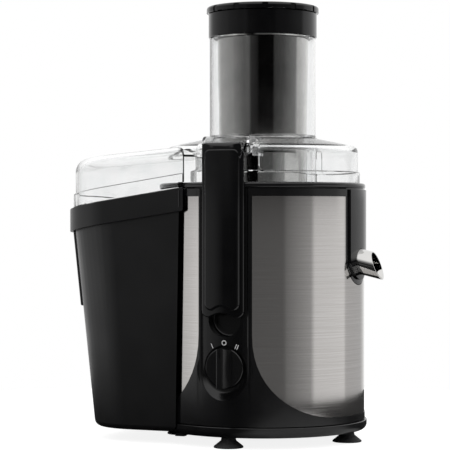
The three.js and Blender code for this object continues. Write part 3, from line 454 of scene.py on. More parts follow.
def wrapped_sheet(name, outside_r, thick, margin=0):
    """A sheet cut flat to the panel's outline, bent to its radius on +X and thickened."""
    half = math.pi * STEEL_R / 2
    corner = [steel_edge(i / 14) for i in range(15)]
    left = [(along - half - margin, up - margin) for along, up in corner]
    left[0] = (left[0][0], CORNER_Z)
    right = [(-across, up) for across, up in reversed(left)]
    top = STEEL_TOP + margin
    flat = left + right + [(right[-1][0], top), (left[0][0], top)]
    stretch = outside_r / STEEL_R
    sheet = start_point(name, (flat[0][0] * stretch, 0, flat[0][1]))
    outline = [(across * stretch, 0, up) for across, up in flat]
    trace(outline + [outline[0]])
    bpy.ops.mesh.select_all(action="SELECT")
    bpy.ops.mesh.remove_doubles(threshold=0.001)
    bpy.ops.mesh.edge_face_add()
    bpy.ops.object.mode_set(mode="OBJECT")
    wrap(sheet, outside_r, right[-1][0] * stretch, 96)
    sheet.rotation_euler.z = math.pi / 2
    bpy.ops.object.transform_apply()
    face_out(sheet)
    wall = sheet.modifiers.new("wall", "SOLIDIFY")
    wall.thickness = thick
    wall.offset = -1
    bpy.ops.object.modifier_apply(modifier=wall.name)
    return sheet


def wrap(piece, radius, reach, columns):
    """Bends a flat upright piece round the axis at the front, in narrow columns."""
    only(piece)
    bpy.ops.object.mode_set(mode="EDIT")
    for i in range(1, columns):
        bpy.ops.mesh.select_all(action="SELECT")
        bpy.ops.mesh.bisect(
            plane_co=(reach * (2 * i / columns - 1), 0, 0), plane_no=(1, 0, 0))
    bpy.ops.object.mode_set(mode="OBJECT")
    low = min(v.co.x for v in piece.data.vertices)
    high = max(v.co.x for v in piece.data.vertices)
    bend = piece.modifiers.new("bend", "SIMPLE_DEFORM")
    bend.deform_method = "BEND"
    bend.deform_axis = "Z"
    bend.angle = (high - low) / radius
    bpy.ops.object.modifier_apply(modifier=bend.name)
    piece.location.y = -radius
    bpy.ops.object.transform_apply()
    return piece


def face_out(sheet):
    """Turns an open sheet's faces away from the axis."""
    only(sheet)
    bpy.ops.object.mode_set(mode="EDIT")
    bpy.ops.mesh.select_all(action="SELECT")
    bpy.ops.mesh.normals_make_consistent(inside=False)
    bpy.ops.object.mode_set(mode="OBJECT")
    face = sheet.data.polygons[0]
    if face.normal.x * face.center.x + face.normal.y * face.center.y < 0:
        bpy.ops.object.mode_set(mode="EDIT")
        bpy.ops.mesh.flip_normals()
        bpy.ops.object.mode_set(mode="OBJECT")


def slot_outline(half, low, high):
    """A slot with a round lower end, as (across, up)."""
    return [(half, high), (-half, high), *curve(0, low + half, half, 180, 360, 24)]


def rod(name, radius, up, near, far, sides=48):
    """A round bar along the front-to-back line, at a height."""
    bpy.ops.object.select_all(action="DESELECT")
    bpy.ops.mesh.primitive_cylinder_add(
        vertices=sides, radius=radius, depth=far - near, location=(0, (near + far) / 2, up),
        rotation=(math.pi / 2, 0, 0))
    piece = bpy.context.object
    piece.name = name
    bpy.ops.object.transform_apply()
    return piece


def column_channel(low):
    """What a column loses above a height: a strip 1.4 mm deep with a soft shoulder."""
    top = 230
    outline = [(x, 0, z) for x, z in slot_outline(CHANNEL_HALF - 1.5, low + 1.5, top)]
    strip = start_point("channel", outline[0])
    trace(outline + [outline[0]])
    bpy.ops.mesh.select_all(action="SELECT")
    bpy.ops.mesh.remove_doubles(threshold=0.001)
    bpy.ops.mesh.edge_face_add()
    half = CHANNEL_HALF - 1.5
    for wider, out in ((0.25, 0.5), (0.55, 0.4), (0.9, 0.3), (1.6, 0.3), (0.3, 8)):
        bpy.ops.mesh.extrude_region_move(TRANSFORM_OT_translate={"value": (0, -out, 0)})
        tall = top - low - 1.5 + (half - CHANNEL_HALF + 1.5)
        bpy.ops.transform.resize(
            value=((half + wider) / half, 1, (tall + wider) / tall),
            center_override=(0, 0, top))
        half += wider
    close_up()
    return wrap(strip, CHANNEL_R, CHANNEL_HALF, 16)


def front_turned(name, profile, up, steps=64):
    """A profile of (radius, distance out) spun round a front-to-back line at a height."""
    piece = turned(name, profile, steps)
    piece.rotation_euler.x = math.pi / 2
    piece.location.z = up
    only(piece)
    bpy.ops.object.transform_apply()
    return piece


def finger_notches():
    """The two scoops under the latches, front and back."""
    front = front_turned("notch", [
        (0, 76), (NOTCH_R - 1.5, 76), *curve(NOTCH_R - 1.5, 77.5, 1.5, -80, 0, 5),
        (NOTCH_R, 110), (0, 110)], NOTCH_Z)
    return front, copied(front, 180)


housing = turned("motor_housing_shell", [
    (85.4, 18), (SKIN_R - 0.5, 18), (SKIN_R, 18.5), (SKIN_R, 217), (SKIN_R - 0.5, 217.5),
    (85.4, 217.5), (85.4, 133), (10, 133), (10, 139), (6.5, 139), (6.5, 124), (10, 124),
    (10, 130), (85.4, 130), (85.4, 18)], steps=192)
combine(housing, "UNION",
        rod("notch_wall", NOTCH_R + 2.5, NOTCH_Z, -86.5, -73.5),
        rod("notch_wall", NOTCH_R + 2.5, NOTCH_Z, 73.5, 86.5),
        rod("knob_seat", 25, KNOB_Z - 2, -86.5, -81))
steel_pocket = wrapped_sheet("pocket", 93, 93 - (STEEL_R - STEEL_THICK - 0.3), margin=0.3)
combine(housing, "DIFFERENCE",
        copied(steel_pocket, 180), steel_pocket,
        column_channel(KNOB_Z - CHANNEL_HALF - 2),
        turned_round(column_channel(NOTCH_Z - CHANNEL_HALF), 180),
        *finger_notches(),
        front_turned("dish", [
            (0, 84), (17.6, 84), (17.7, 86), (18.1, 87), (19, 87.8), (21, 88.6), (21, 100),
            (0, 100)], KNOB_Z),
        front_turned("scoop", [
            (0, 84.2), (17, 84.2), (18.6, 85), (20.4, 86.2), (22, 87.5), (24, 89.5),
            (24, 100), (0, 100)], KNOB_Z - 3.5), rod("spindle_hole", 3.6, KNOB_Z, -90, -70),
        rod("cord_hole", 5.3, 42, 70, 110),
        pushed("spout_slot", [(60, y, z) for y, z in slot_outline(24.5, 135, 230)], (50, 0, 0)))
soften(housing, 0.5, angle=40)
set_in_place(housing, body_black_abs, "base", "satin_black_plastic", "motor_housing")

# ---- Steel side panels ----
# 0.8 mm stainless sheet, brushed along its length, cut, rolled to the body's radius and
# glued into the housing's pockets. The right one is notched for the spout.
brushed_stainless, tree, shader = new_finish("brushed_stainless_sheet")
place = add_node(tree, "ShaderNodeTexCoord")
# Brush lines run round the body: long in plan, 0.5 mm apart in height, which is coarser
# than the real 0.1 mm so that they show.
along = add_node(tree, "ShaderNodeMapping", {
    "Vector": place.outputs["Object"], "Scale": (14, 14, 2000)})
lines = add_node(tree, "ShaderNodeTexNoise", {
    "Vector": along.outputs["Vector"], "Scale": 1, "Detail": 3, "Roughness": 0.65})
tone = add_node(tree, "ShaderNodeValToRGB", {"Fac": lines.outputs["Fac"]})
set_stops(tone, [(0.3, linear("#c0bdba")), (0.7, linear("#d2cfcd"))])
gloss = add_node(tree, "ShaderNodeMapRange", {
    "Value": lines.outputs["Fac"], "From Min": 0.3, "From Max": 0.7,
    "To Min": 0.07, "To Max": 0.12})
bump = add_node(tree, "ShaderNodeBump", {
    "Height": lines.outputs["Fac"], "Strength": 0.02, "Distance": 0.0001})
tree.links.new(tone.outputs["Color"], shader.inputs["Base Color"])
tree.links.new(gloss.outputs["Result"], shader.inputs["Roughness"])
tree.links.new(bump.outputs["Normal"], shader.inputs["Normal"])
shader.inputs["Metallic"].default_value = 1

spout_side = wrapped_sheet("spout_side_sheet", STEEL_R, STEEL_THICK)
bin_side = copied(spout_side, 180)
bin_side.name = "bin_side_sheet"
combine(spout_side, "DIFFERENCE", pushed(
    "spout_slot", [(60, y, z) for y, z in slot_outline(24.8, 134.7, 230)], (50, 0, 0)))
for sheet, node in ((spout_side, "spout_side_panel"), (bin_side, "bin_side_panel")):
    set_in_place(sheet, brushed_stainless, "base", "brushed_steel", node)

# ---- Motor, drive and electrics ----
# A series motor on two zinc plated steel plates, hung from the deck on rubber blocks, with
# its switch, interlock and board. All are bought-in parts that the housing hides.


def cover_with(finish, *nodes):
    """Gives CAD nodes that keep their shape a finish."""
    for node in nodes:
        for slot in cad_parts[node].material_slots:
            slot.material = finish


def mottled(name, dark, light, scale, rough, metallic=0, bump_depth=0.1):
    """A finish whose tone and gloss wander between two colours at a real scale per metre."""
    material, tree, shader = new_finish(name)
    place = add_node(tree, "ShaderNodeTexCoord")
    wander = add_node(tree, "ShaderNodeTexNoise", {
        "Vector": place.outputs["Object"], "Scale": scale, "Detail": 4})
    tone = add_node(tree, "ShaderNodeValToRGB", {"Fac": wander.outputs["Fac"]})
    set_stops(tone, [(0.3, linear(dark)), (0.7, linear(light))])
    gloss = add_node(tree, "ShaderNodeMapRange", {
        "Value": wander.outputs["Fac"], "From Min": 0.3, "From Max": 0.7,
        "To Min": rough * 0.85, "To Max": rough * 1.15})
    bump = add_node(tree, "ShaderNodeBump", {
        "Height": wander.outputs["Fac"], "Strength": bump_depth, "Distance": 0.0001})
    tree.links.new(tone.outputs["Color"], shader.inputs["Base Color"])
    tree.links.new(gloss.outputs["Result"], shader.inputs["Roughness"])
    tree.links.new(bump.outputs["Normal"], shader.inputs["Normal"])
    shader.inputs["Metallic"].default_value = metallic
    return material


def banded(name, dark, light, pitch, direction, rough, metallic=1):
    """A finish of fine parallel bands, at a pitch in metres: wire turns or laminations."""
    material, tree, shader = new_finish(name)
    place = add_node(tree, "ShaderNodeTexCoord")
    bands = add_node(tree, "ShaderNodeTexWave", {
        "Vector": place.outputs["Object"], "Scale": math.pi / (10 * pitch),
        "Distortion": 0.4, "Detail": 2}, bands_direction=direction)
    tone = add_node(tree, "ShaderNodeValToRGB", {"Fac": bands.outputs["Fac"]})
    set_stops(tone, [(0.25, linear(dark)), (0.6, linear(light))])
    bump = add_node(tree, "ShaderNodeBump", {
        "Height": bands.outputs["Fac"], "Strength": 0.5, "Distance": 0.0003})
    tree.links.new(tone.outputs["Color"], shader.inputs["Base Color"])
    tree.links.new(bump.outputs["Normal"], shader.inputs["Normal"])
    shader.inputs["Roughness"].default_value = rough
    shader.inputs["Metallic"].default_value = metallic
    return material


# Zinc plate is a cool grey with a faint cloudy spangle a few millimetres across.
zinc_plate = mottled("zinc_plated_steel", "#8f9294", "#abadae", 320, 0.35, metallic=1)
# Stacked 0.5 mm laminations, drawn at 1.2 mm, under a thin varnish.
varnished_laminations = banded(
    "varnished_laminations", "#4e4f52", "#8a8b8d", 0.0012, "Z", 0.45)
# Enamelled wire of 0.6 mm, drawn at 1 mm: warm bands with a lacquer gloss.
copper_winding = banded("enamelled_copper_wire", "#7a3c1f", "#c07a4c", 0.001, "X", 0.3)
commutator_copper = banded("turned_copper_bars", "#8f5833", "#c98d62", 0.0015, "Z", 0.3)
pressed_brass = mottled("pressed_brass", "#a8843f", "#c2a05a", 400, 0.32, metallic=1)
brush_carbon = mottled("pressed_carbon", "#202022", "#38383a", 900, 0.6, bump_depth=0.3)
nylon = mottled("natural_nylon", "#cfccc3", "#dedbd3", 150, 0.45)
grey_acetal = mottled("grey_acetal", "#56575a", "#64656a", 200, 0.4)
# Lacquered glass board: traces a millimetre or two wide show as a darker green pattern.
board_green, tree, shader = new_finish("lacquered_board")
place = add_node(tree, "ShaderNodeTexCoord")
traces = add_node(tree, "ShaderNodeTexBrick", {
    "Vector": place.outputs["Object"], "Color1": linear("#2c6a44"), "Color2": linear("#357a50"),
    "Mortar": linear("#1d4a30"), "Scale": 60, "Mortar Size": 0.03})
tree.links.new(traces.outputs["Color"], shader.inputs["Base Color"])
shader.inputs["Roughness"].default_value = 0.35

cover_with(zinc_plate, "motor_bracket_lower", "motor_bracket_upper", "motor_bolt_1",
           "motor_bolt_2", "bearing_lower", "bearing_upper", "motor_shaft", "switch_spindle",
           "cover_screw_1", "cover_screw_2", "cover_screw_3", "cover_screw_4")
cover_with(varnished_laminations, "stator_core", "rotor_core")
cover_with(copper_winding, "field_coil_left", "field_coil_right")
cover_with(commutator_copper, "commutator")
cover_with(pressed_brass, "brush_holder_left", "brush_holder_right")
cover_with(brush_carbon, "carbon_brush_left", "carbon_brush_right")
cover_with(nylon, "cooling_fan", "rotary_switch", "interlock_switch")
cover_with(grey_acetal, "drive_coupling")
cover_with(board_green, "control_board")
cover_with(nitrile_rubber, "motor_mount_1", "motor_mount_2", "motor_mount_3", "motor_mount_4",
           "shaft_seal")

# ---- Cord gland ----
# A ribbed rubber sleeve that snaps into the back wall, where the mains lead leaves.
GLAND_Z = 42
gland = turned("cord_sleeve", [
    (2.6, 82), (6.8, 82), (6.8, 84.4), (5, 84.4), (5, 89.7), (8, 89.7), (8, 91.6), (6.2, 92),
    (6.2, 93.4), (5.3, 93.6), (5.3, 94.6), (6, 94.8), (6, 96.2), (5.1, 96.4), (5.1, 97.4),
    (5.7, 97.6), (5.7, 99), (4.9, 99.2), (5.4, 101), (2.6, 101), (2.6, 82)], steps=48)
gland.rotation_euler.x = -math.pi / 2
gland.location.z = GLAND_Z
only(gland)
bpy.ops.object.transform_apply()
set_in_place(gland, nitrile_rubber, "base", "rubber", "cord_gland")

# ---- Speed knob ----
# A gloss black ABS knob pressed on the switch spindle. A tall wedge across its face is the
# grip, and a fine line on the wedge's end points at the marks.
KNOB_R = 17
KNOB_BACK = 84.3
# Gloss black from a polished mould: near black, sharp reflections, a faint ripple in them.
gloss_black_abs, tree, shader = new_finish("gloss_black_abs")
place = add_node(tree, "ShaderNodeTexCoord")
ripple = add_node(tree, "ShaderNodeTexNoise", {
    "Vector": place.outputs["Object"], "Scale": 90, "Detail": 1})
tone = add_node(tree, "ShaderNodeValToRGB", {"Fac": ripple.outputs["Fac"]})
set_stops(tone, [(0.3, linear("#0b0b0c")), (0.7, linear("#0e0e0f"))])
gloss = add_node(tree, "ShaderNodeMapRange", {
    "Value": ripple.outputs["Fac"], "From Min": 0.3, "From Max": 0.7,
    "To Min": 0.06, "To Max": 0.1})
bump = add_node(tree, "ShaderNodeBump", {
    "Height": ripple.outputs["Fac"], "Strength": 0.03, "Distance": 0.0005})
tree.links.new(tone.outputs["Color"], shader.inputs["Base Color"])
tree.links.new(gloss.outputs["Result"], shader.inputs["Roughness"])
tree.links.new(bump.outputs["Normal"], shader.inputs["Normal"])
shader.inputs["IOR"].default_value = 1.53

knob = rod("speed_knob_moulding", KNOB_R, KNOB_Z, -KNOB_BACK - 4, -KNOB_BACK, sides=96)
soften(knob, 1.1, segments=3)
wedge = pushed("grip", [(-7.2, -KNOB_BACK - 3, KNOB_Z - 17), (-3.2, -97.4, KNOB_Z - 17),
                        (-2.2, -98.2, KNOB_Z - 17), (2.2, -98.2, KNOB_Z - 17),
                        (3.2, -97.4, KNOB_Z - 17), (7.2, -KNOB_BACK - 3, KNOB_Z - 17)],
               (0, 0, 34))
combine(wedge, "INTERSECT", rod("round", KNOB_R - 0.5, KNOB_Z, -110, -80, sides=96))
soften(wedge, 2.1, segments=5, angle=25)
combine(knob, "UNION", wedge)
combine(knob, "DIFFERENCE", rod("spindle_hole", 3.4, KNOB_Z, -91, -80),
        pushed("pointer", [(-0.5, -97.4, KNOB_Z + 9), (0.5, -97.4, KNOB_Z + 9),
                           (0.5, -100, KNOB_Z + 9), (-0.5, -100, KNOB_Z + 9)], (0, 0, 10)))
set_in_place(knob, body_black_abs, "knob", "gloss_black_plastic", "speed_knob")

# ---- Dial marks ----
# Three marks pad printed in white ink round the knob: one bar, a ring for off, two bars.
MARK_R = 21
MARK_SKIN_R = CHANNEL_R + 0.02
INK = 0.1
white_ink = mottled("white_print_ink", "#e6e6e6", "#f7f7f7", 700, 0.5, bump_depth=0.15)


def mark_bar(across, up, lean):
    """One printed bar standing on the channel's floor, leaning by degrees."""
    bpy.ops.object.select_all(action="DESELECT")
    bpy.ops.mesh.primitive_cube_add(size=1, location=(0, 0, 0))
    bar = bpy.context.object
    bar.scale = (0.62, 4, 4.3)
    bar.rotation_euler.y = math.radians(lean)
    bpy.ops.object.transform_apply()
    bar.location = (across, -MARK_SKIN_R + 1, up)
    bpy.ops.object.transform_apply()
    return bar


mark_ring = turned("ring", [(1.45, -2), (2.15, -2), (2.15, 2), (1.45, 2), (1.45, -2)], steps=48)
mark_ring.rotation_euler.x = math.pi / 2
mark_ring.location = (0, -MARK_SKIN_R + 1, KNOB_Z + MARK_R)
only(mark_ring)
bpy.ops.object.transform_apply()
swing = math.radians(30)
side = MARK_R * math.sin(swing) + 0.6
height = KNOB_Z + MARK_R * math.cos(swing)
ink_film = turned("film", [(MARK_SKIN_R, 80), (MARK_SKIN_R + INK, 80), (MARK_SKIN_R + INK, 95),
                           (MARK_SKIN_R, 95), (MARK_SKIN_R, 80)], steps=192)
marks = made_one([mark_ring, mark_bar(-side, height, -24), mark_bar(side - 0.8, height, 24),
                  mark_bar(side + 0.8, height - 0.7, 24)])
marks.name = "dial_marks"
combine(marks, "INTERSECT", ink_film)
set_in_place(marks, white_ink, "base", "pale_plastic")

# ---- Juice bowl ----
# Gloss black ABS, dropped into the housing. Its rim closes the housing's top, and an apron
# fills the housing's slot round the spout, with a raised panel down the middle.
BOWL_R = 84.4
RIM_TOP = 222.5
SLOT_LOW = 135
SPOUT_R = 10.75
SPOUT_PLACE = (91, 0, 155)
SPOUT_TILT = math.radians(13)
bowl = turned("juice_bowl_moulding", [
    (14.8, 143), (BOWL_R - 4, 143), *curve(BOWL_R - 4, 147, 4, -90, 0, 5), (BOWL_R, 217.8),
    (88.8, 217.8), *curve(88.6, 219, 1.2, -90, 0, 3), *curve(87.8, 220.5, 2, 0, 90, 6),
    (82.4, RIM_TOP), (82.4, 148), *curve(79.4, 148.4, 3, 0, -90, 5), (17, 145.4), (17, 152),
    (14.8, 152), (14.8, 143)], steps=192)
frame_band = turned("band", [(82.4, 130), (88.9, 130), (88.9, 221.5), (82.4, 221.5), (82.4, 130)],
                    steps=192)
apron = combine(pushed("apron", [(60, y, z) for y, z in slot_outline(24.2, SLOT_LOW + 0.3, 221)],
                       (50, 0, 0)), "INTERSECT", frame_band)
raised_band = turned("band", [(84, 130), (90.9, 130), (90.9, 221), (84, 221), (84, 130)],
                     steps=192)
panel = combine(pushed("panel", [(60, y, z) for y, z in slot_outline(20.5, 139.5, 216.6)],
                       (50, 0, 0)), "INTERSECT", raised_band)
soften(panel, 0.8, segments=3)
combine(bowl, "UNION", apron, panel)


def on_spout_axis(name, profile, steps=64):
    """A turned shape laid along the spout, outwards and down."""
    piece = turned(name, profile, steps)
    piece.rotation_euler.y = math.pi / 2 + SPOUT_TILT
    piece.location = SPOUT_PLACE
    only(piece)
    bpy.ops.object.transform_apply()
    return piece


combine(bowl, "DIFFERENCE", on_spout_axis("bore", [
    (0, -30), (SPOUT_R + 0.3, -30), (SPOUT_R + 0.3, 40), (0, 40)]))
set_in_place(bowl, gloss_black_abs, "base", "gloss_black_plastic", "juice_bowl")

# ---- Juice spout ----
# A short polished stainless tube pressed through the apron, cut at a slant so that the last
# drop runs to its tip.
# Polished steel mirrors the room, with a faint haze from handling.
polished_stainless, tree, shader = new_finish("polished_stainless")
place = add_node(tree, "ShaderNodeTexCoord")
haze = add_node(tree, "ShaderNodeTexNoise", {
    "Vector": place.outputs["Object"], "Scale": 45, "Detail": 3})
tone = add_node(tree, "ShaderNodeValToRGB", {"Fac": haze.outputs["Fac"]})
set_stops(tone, [(0.3, linear("#cfcecc")), (0.7, linear("#d8d7d5"))])
gloss = add_node(tree, "ShaderNodeMapRange", {
    "Value": haze.outputs["Fac"], "From Min": 0.3, "From Max": 0.7,
    "To Min": 0.02, "To Max": 0.05})
tree.links.new(tone.outputs["Color"], shader.inputs["Base Color"])
tree.links.new(gloss.outputs["Result"], shader.inputs["Roughness"])
shader.inputs["Metallic"].default_value = 1

spout = on_spout_axis("juice_spout_tube", [
    (SPOUT_R - 0.8, -12), (SPOUT_R, -12), (SPOUT_R, 40), (SPOUT_R - 0.8, 40),
    (SPOUT_R - 0.8, -12)], steps=96)
bpy.ops.object.select_all(action="DESELECT")
bpy.ops.mesh.primitive_cube_add(size=60, location=(30, 0, 0))
slant = bpy.context.object
bpy.ops.object.transform_apply()
slant.rotation_euler.y = -math.radians(20)
slant.location = (104.3, 0, 155)
bpy.ops.object.transform_apply()
combine(spout, "DIFFERENCE", slant)
soften(spout, 0.2)
set_in_place(spout, polished_stainless, "base", "polished_steel", "juice_spout")

# ---- Filter basket, grater and drive base ----
# Pierced stainless sheet rolled to a cone with a rolled rim, welded round a grater disc on a
# black drive base. It spins on the coupling.
# Rows of 0.6 mm holes at 1.5 mm pitch, drawn at 2.2 mm as dark dots on polished sheet.
pierced_stainless, tree, shader = new_finish("pierced_stainless")
place = add_node(tree, "ShaderNodeTexCoord")
centred = add_node(tree, "ShaderNodeMapping", {
    "Vector": place.outputs["Object"], "Location": (-drive_axis[0], -drive_axis[1], 0)})
holes = add_node(tree, "ShaderNodeTexVoronoi", {
    "Vector": centred.outputs["Vector"], "Scale": 450, "Randomness": 0.25})
tone = add_node(tree, "ShaderNodeValToRGB", {"Fac": holes.outputs["Distance"]})
set_stops(tone, [(0.28, linear("#1c1c1c")), (0.36, linear("#cfcecc"))])
bump = add_node(tree, "ShaderNodeBump", {
    "Height": holes.outputs["Distance"], "Strength": 0.5, "Distance": 0.0003})
tree.links.new(tone.outputs["Color"], shader.inputs["Base Color"])
tree.links.new(bump.outputs["Normal"], shader.inputs["Normal"])
shader.inputs["Metallic"].default_value = 1
shader.inputs["Roughness"].default_value = 0.2

basket = turned("filter_basket_cone", [
    (45.6, 163.3), (50.6, 163.3), (70.8, 218.6), (73.6, 218.8), (74, 219.2), (73.8, 219.8),
    (70, 219.8), (50, 164.1), (45.6, 164.1), (45.6, 163.3)], steps=128)
set_in_place(basket, pierced_stainless, "rotor", "polished_steel", "filter_basket")
cover_with(polished_stainless, "grater_disc")
cover_with(satin_black_abs, "basket_base")

# ---- Lid with feed chute and pulp hood ----
# One clear moulding: a low dome over the bowl, the tall feed chute, a hood that leads the
# pulp into the container, and a pair of lugs at front and back for the latch pins.
LID_R = 83.3
SKIRT_R = 85.1
LID_WALL = 2.5
LID_LOW = 222.8
STEP_Z = 232.5
CHUTE_R = 46.4
CHUTE_LOW = 176
CHUTE_TOP = 349.7
DOME_TOP = 262
HOOD_HALF = 80
HOOD_FAR = -160.7
HOOD_NEAR = -41
HOOD_TOP = 253.6
HOOD_SLOPE = 0.085
RIM_SLOPE = 0.15
RIM_X = -50
RIM_Z = 217
LUG_X = 20.2
LUG_THICK = 2.5
HINGE = (-66, 253.8)
PIN_REACH = 30


def pin_bore(radius, y):
    """The level hole for a latch pin, at the hinge's height."""
    bore = turned("pin_hole", [(0, -PIN_REACH), (radius, -PIN_REACH), (radius, PIN_REACH),
                               (0, PIN_REACH)], steps=24)
    bore.rotation_euler.y = math.pi / 2
    bore.location = (0, y, HINGE[1])
    return bore


def lid_round(wall_r, skirt_r, inset, low):
    """The lid's round part as a filled shape, inset for its inside."""
    shoulder = [(r - inset / 2, z - inset / 2) for r, z in
                curve(wall_r - 5, 250.2, 5 - inset / 2, 0, 78, 6)]
    return turned("dome", [
        (0, low), (skirt_r - inset, low), (skirt_r - inset, STEP_Z - 1),
        (skirt_r - inset - (skirt_r - wall_r) * 0.4, STEP_Z - 0.2), (wall_r - inset, STEP_Z),
        *shoulder, (CHUTE_R - inset, DOME_TOP - inset), (0, DOME_TOP - inset)], steps=144)


def bin_plan(half, far, corner, near):
    """Plan of the container and of the hood: straight sides and a rounded far end."""
    return [(near, half), *curve(far + corner, half - corner, corner, 90, 180, 14),
            *curve(far + corner, -half + corner, corner, 180, 270, 14), (near, -half)]


def sliced(piece, place, normal):
    """Cuts away what lies beyond a plane and fills the cut."""
    only(piece)
    bpy.ops.object.mode_set(mode="EDIT")
    bpy.ops.mesh.select_all(action="SELECT")
    bpy.ops.mesh.bisect(plane_co=place, plane_no=normal, use_fill=True, clear_outer=True)
    close_up()
    return piece


def hood_shape(inset, low):
    """The hood as a filled shape between the rim line and its rounded, sloping top."""
    near = HOOD_NEAR + (30 if inset else 0)
    plan = bin_plan(HOOD_HALF - inset, HOOD_FAR + inset, 46 - inset, near)
    hood = pushed("hood", [(x, y, low) for x, y in plan], (0, 0, 275 - low))
    sliced(hood, (HOOD_NEAR, 0, HOOD_TOP - inset), (-HOOD_SLOPE, 0, 1))
    only(hood)
    bpy.ops.object.mode_set(mode="EDIT")
    bpy.ops.mesh.select_all(action="DESELECT")
    bpy.ops.object.mode_set(mode="OBJECT")
    for edge in hood.data.edges:
        ends = [hood.data.vertices[i].co for i in edge.vertices]
        on_top = all(abs(HOOD_TOP - inset + HOOD_SLOPE * (p.x - HOOD_NEAR) - p.z) < 0.05
                     for p in ends)
        edge.select = on_top and not all(abs(p.x - near) < 0.05 for p in ends)
    bpy.ops.object.mode_set(mode="EDIT")
    bpy.ops.mesh.select_mode(type="EDGE")
    bpy.ops.mesh.bevel(offset=11 - inset / 2, segments=9, affect="EDGES")
    close_up()
    return hood


def below_rim_line(piece, rise):
    """Cuts a piece's underside to the container's sloping rim line, raised by rise."""
    return sliced(piece, (RIM_X, 0, RIM_Z + rise), (RIM_SLOPE, 0, -1))


dome = lid_round(LID_R, SKIRT_R, 0, LID_LOW)
hood = below_rim_line(hood_shape(0, 190), 0.3)
skirt_plan = bin_plan(HOOD_HALF + 1.7, HOOD_FAR - 1.8, 47.5, HOOD_NEAR)
skirt = below_rim_line(
    pushed("skirt", [(x, y, 190) for x, y in skirt_plan], (0, 0, 60)), 0.3)
sliced(skirt, (-48, 0, 229.5), (-RIM_SLOPE, 0, 1))
soften(skirt, 0.9, segments=3, angle=60)
pad_outline = [(-32, 200), (32, 200), (32, STEP_Z), *curve(32, 236.5, 4, 270, 180, 5),
               (28, 280), (-28, 280), *curve(-32, 236.5, 4, 0, -90, 5)]
pads = combine(pushed("pads", [(x, -100, z) for x, z in pad_outline], (0, 200, 0)),
               "INTERSECT", lid_round(SKIRT_R, SKIRT_R, 0, LID_LOW))
lid = combine(dome, "UNION", hood, skirt, pads)
lid.name = "clear_lid"

hollow = combine(lid_round(LID_R, SKIRT_R, LID_WALL, LID_LOW - 5), "UNION",
                 hood_shape(LID_WALL, 180))


def slab(across, near, far, low, high):
    """A square-sided block across the middle, from near to far along the front-to-back line."""
    corners = [(-across, near, low), (across, near, low), (across, far, low),
               (-across, far, low)]
    return pushed("slab", corners, (0, 0, high - low))


wide = LUG_X + LUG_THICK / 2
narrow = LUG_X - LUG_THICK / 2
combine(hollow, "DIFFERENCE", slab(wide, -100, -53.5, 244.5, 280),
        slab(wide, 53.5, 100, 244.5, 280))
combine(lid, "DIFFERENCE", hollow, slab(narrow, -100, -56, 247, 280),
        slab(narrow, 56, 100, 247, 280),
        turned("bowl_room", [(0, 190), (90.1, 190), (90.1, LID_LOW), (0, LID_LOW)], steps=144))
lug_side = [(-53.5, 246), *curve(-56.5, 258, 3, 0, 90, 4), *curve(-79, 255, 6, 90, 180, 6),
            (-85.1, 250), (-85.1, 246)]
for x in (-LUG_X, LUG_X):
    lug = pushed("lug", [(x - LUG_THICK / 2, y, z) for y, z in lug_side], (LUG_THICK, 0, 0))
    soften(lug, 0.4)
    combine(lid, "UNION", copied(lug, 180), lug)
combine(lid, "UNION", turned("chute", [
    (0, CHUTE_LOW), (CHUTE_R, CHUTE_LOW), (CHUTE_R, DOME_TOP - 1),
    *curve(CHUTE_R + 3, DOME_TOP + 2.4, 3, 235, 180, 4), (CHUTE_R, CHUTE_TOP - 0.6),
    (CHUTE_R - 0.6, CHUTE_TOP), (0, CHUTE_TOP)], steps=144))
combine(lid, "DIFFERENCE", turned("bore", [
    (0, 170), (CHUTE_R - LID_WALL, 170), (CHUTE_R - LID_WALL, 360), (0, 360)], steps=144))
for y in (HINGE[0], -HINGE[0]):
    combine(lid, "DIFFERENCE", pin_bore(2.2, y))

# Clear copolyester from a polished mould: water clear, bright edges, a faint mould ripple.
clear_copolyester, tree, shader = new_finish("clear_copolyester")
place = add_node(tree, "ShaderNodeTexCoord")
flow = add_node(tree, "ShaderNodeTexNoise", {
    "Vector": place.outputs["Object"], "Scale": 60, "Detail": 1})
bump = add_node(tree, "ShaderNodeBump", {
    "Height": flow.outputs["Fac"], "Strength": 0.02, "Distance": 0.0005})
tone = add_node(tree, "ShaderNodeValToRGB", {"Fac": flow.outputs["Fac"]})
set_stops(tone, [(0.3, linear("#fafbfb")), (0.7, linear("#ffffff"))])
tree.links.new(tone.outputs["Color"], shader.inputs["Base Color"])
tree.links.new(bump.outputs["Normal"], shader.inputs["Normal"])
shader.inputs["Roughness"].default_value = 0.02
shader.inputs["IOR"].default_value = 1.5
shader.inputs["Transmission Weight"].default_value = 1
set_in_place(lid, clear_copolyester, "lid", "clear_plastic", "lid", smooth=30)
cover_with(zinc_plate, "latch_pin_front", "latch_pin_back")

# ---- Latch arms ----
# Two long gloss black levers. Each turns on a pin in the lid's lugs and hangs down its
# column; its scalloped lower end stands over the finger notch.
ARM_HALF = 18.7
ARM_IN = 90.3
ARM_STEP = 93.3
ARM_OUT = 95.2
ARM_TOP = 251
ARM_LOW = 109.3


def arm_outline(inset):
    """The arm seen from the front, as (across, up), inset at its sides and lower end."""
    half = ARM_HALF - inset
    top = ARM_TOP - inset / 4
    low = ARM_LOW + inset * 1.7
    scallop = [(half - 7 - (half - 7) * 2 * i / 12,
                low + 3.6 * math.sin(math.pi * i / 12)) for i in range(13)]
    return [*curve(half - 5, top - 5, 5, 0, 90), *curve(-half + 5, top - 5, 5, 90, 180),
            *curve(-half + 6, low + 6, 6, 180, 262, 5), *reversed(scallop),
            *curve(half - 6, low + 6, 6, 278, 360, 5)]


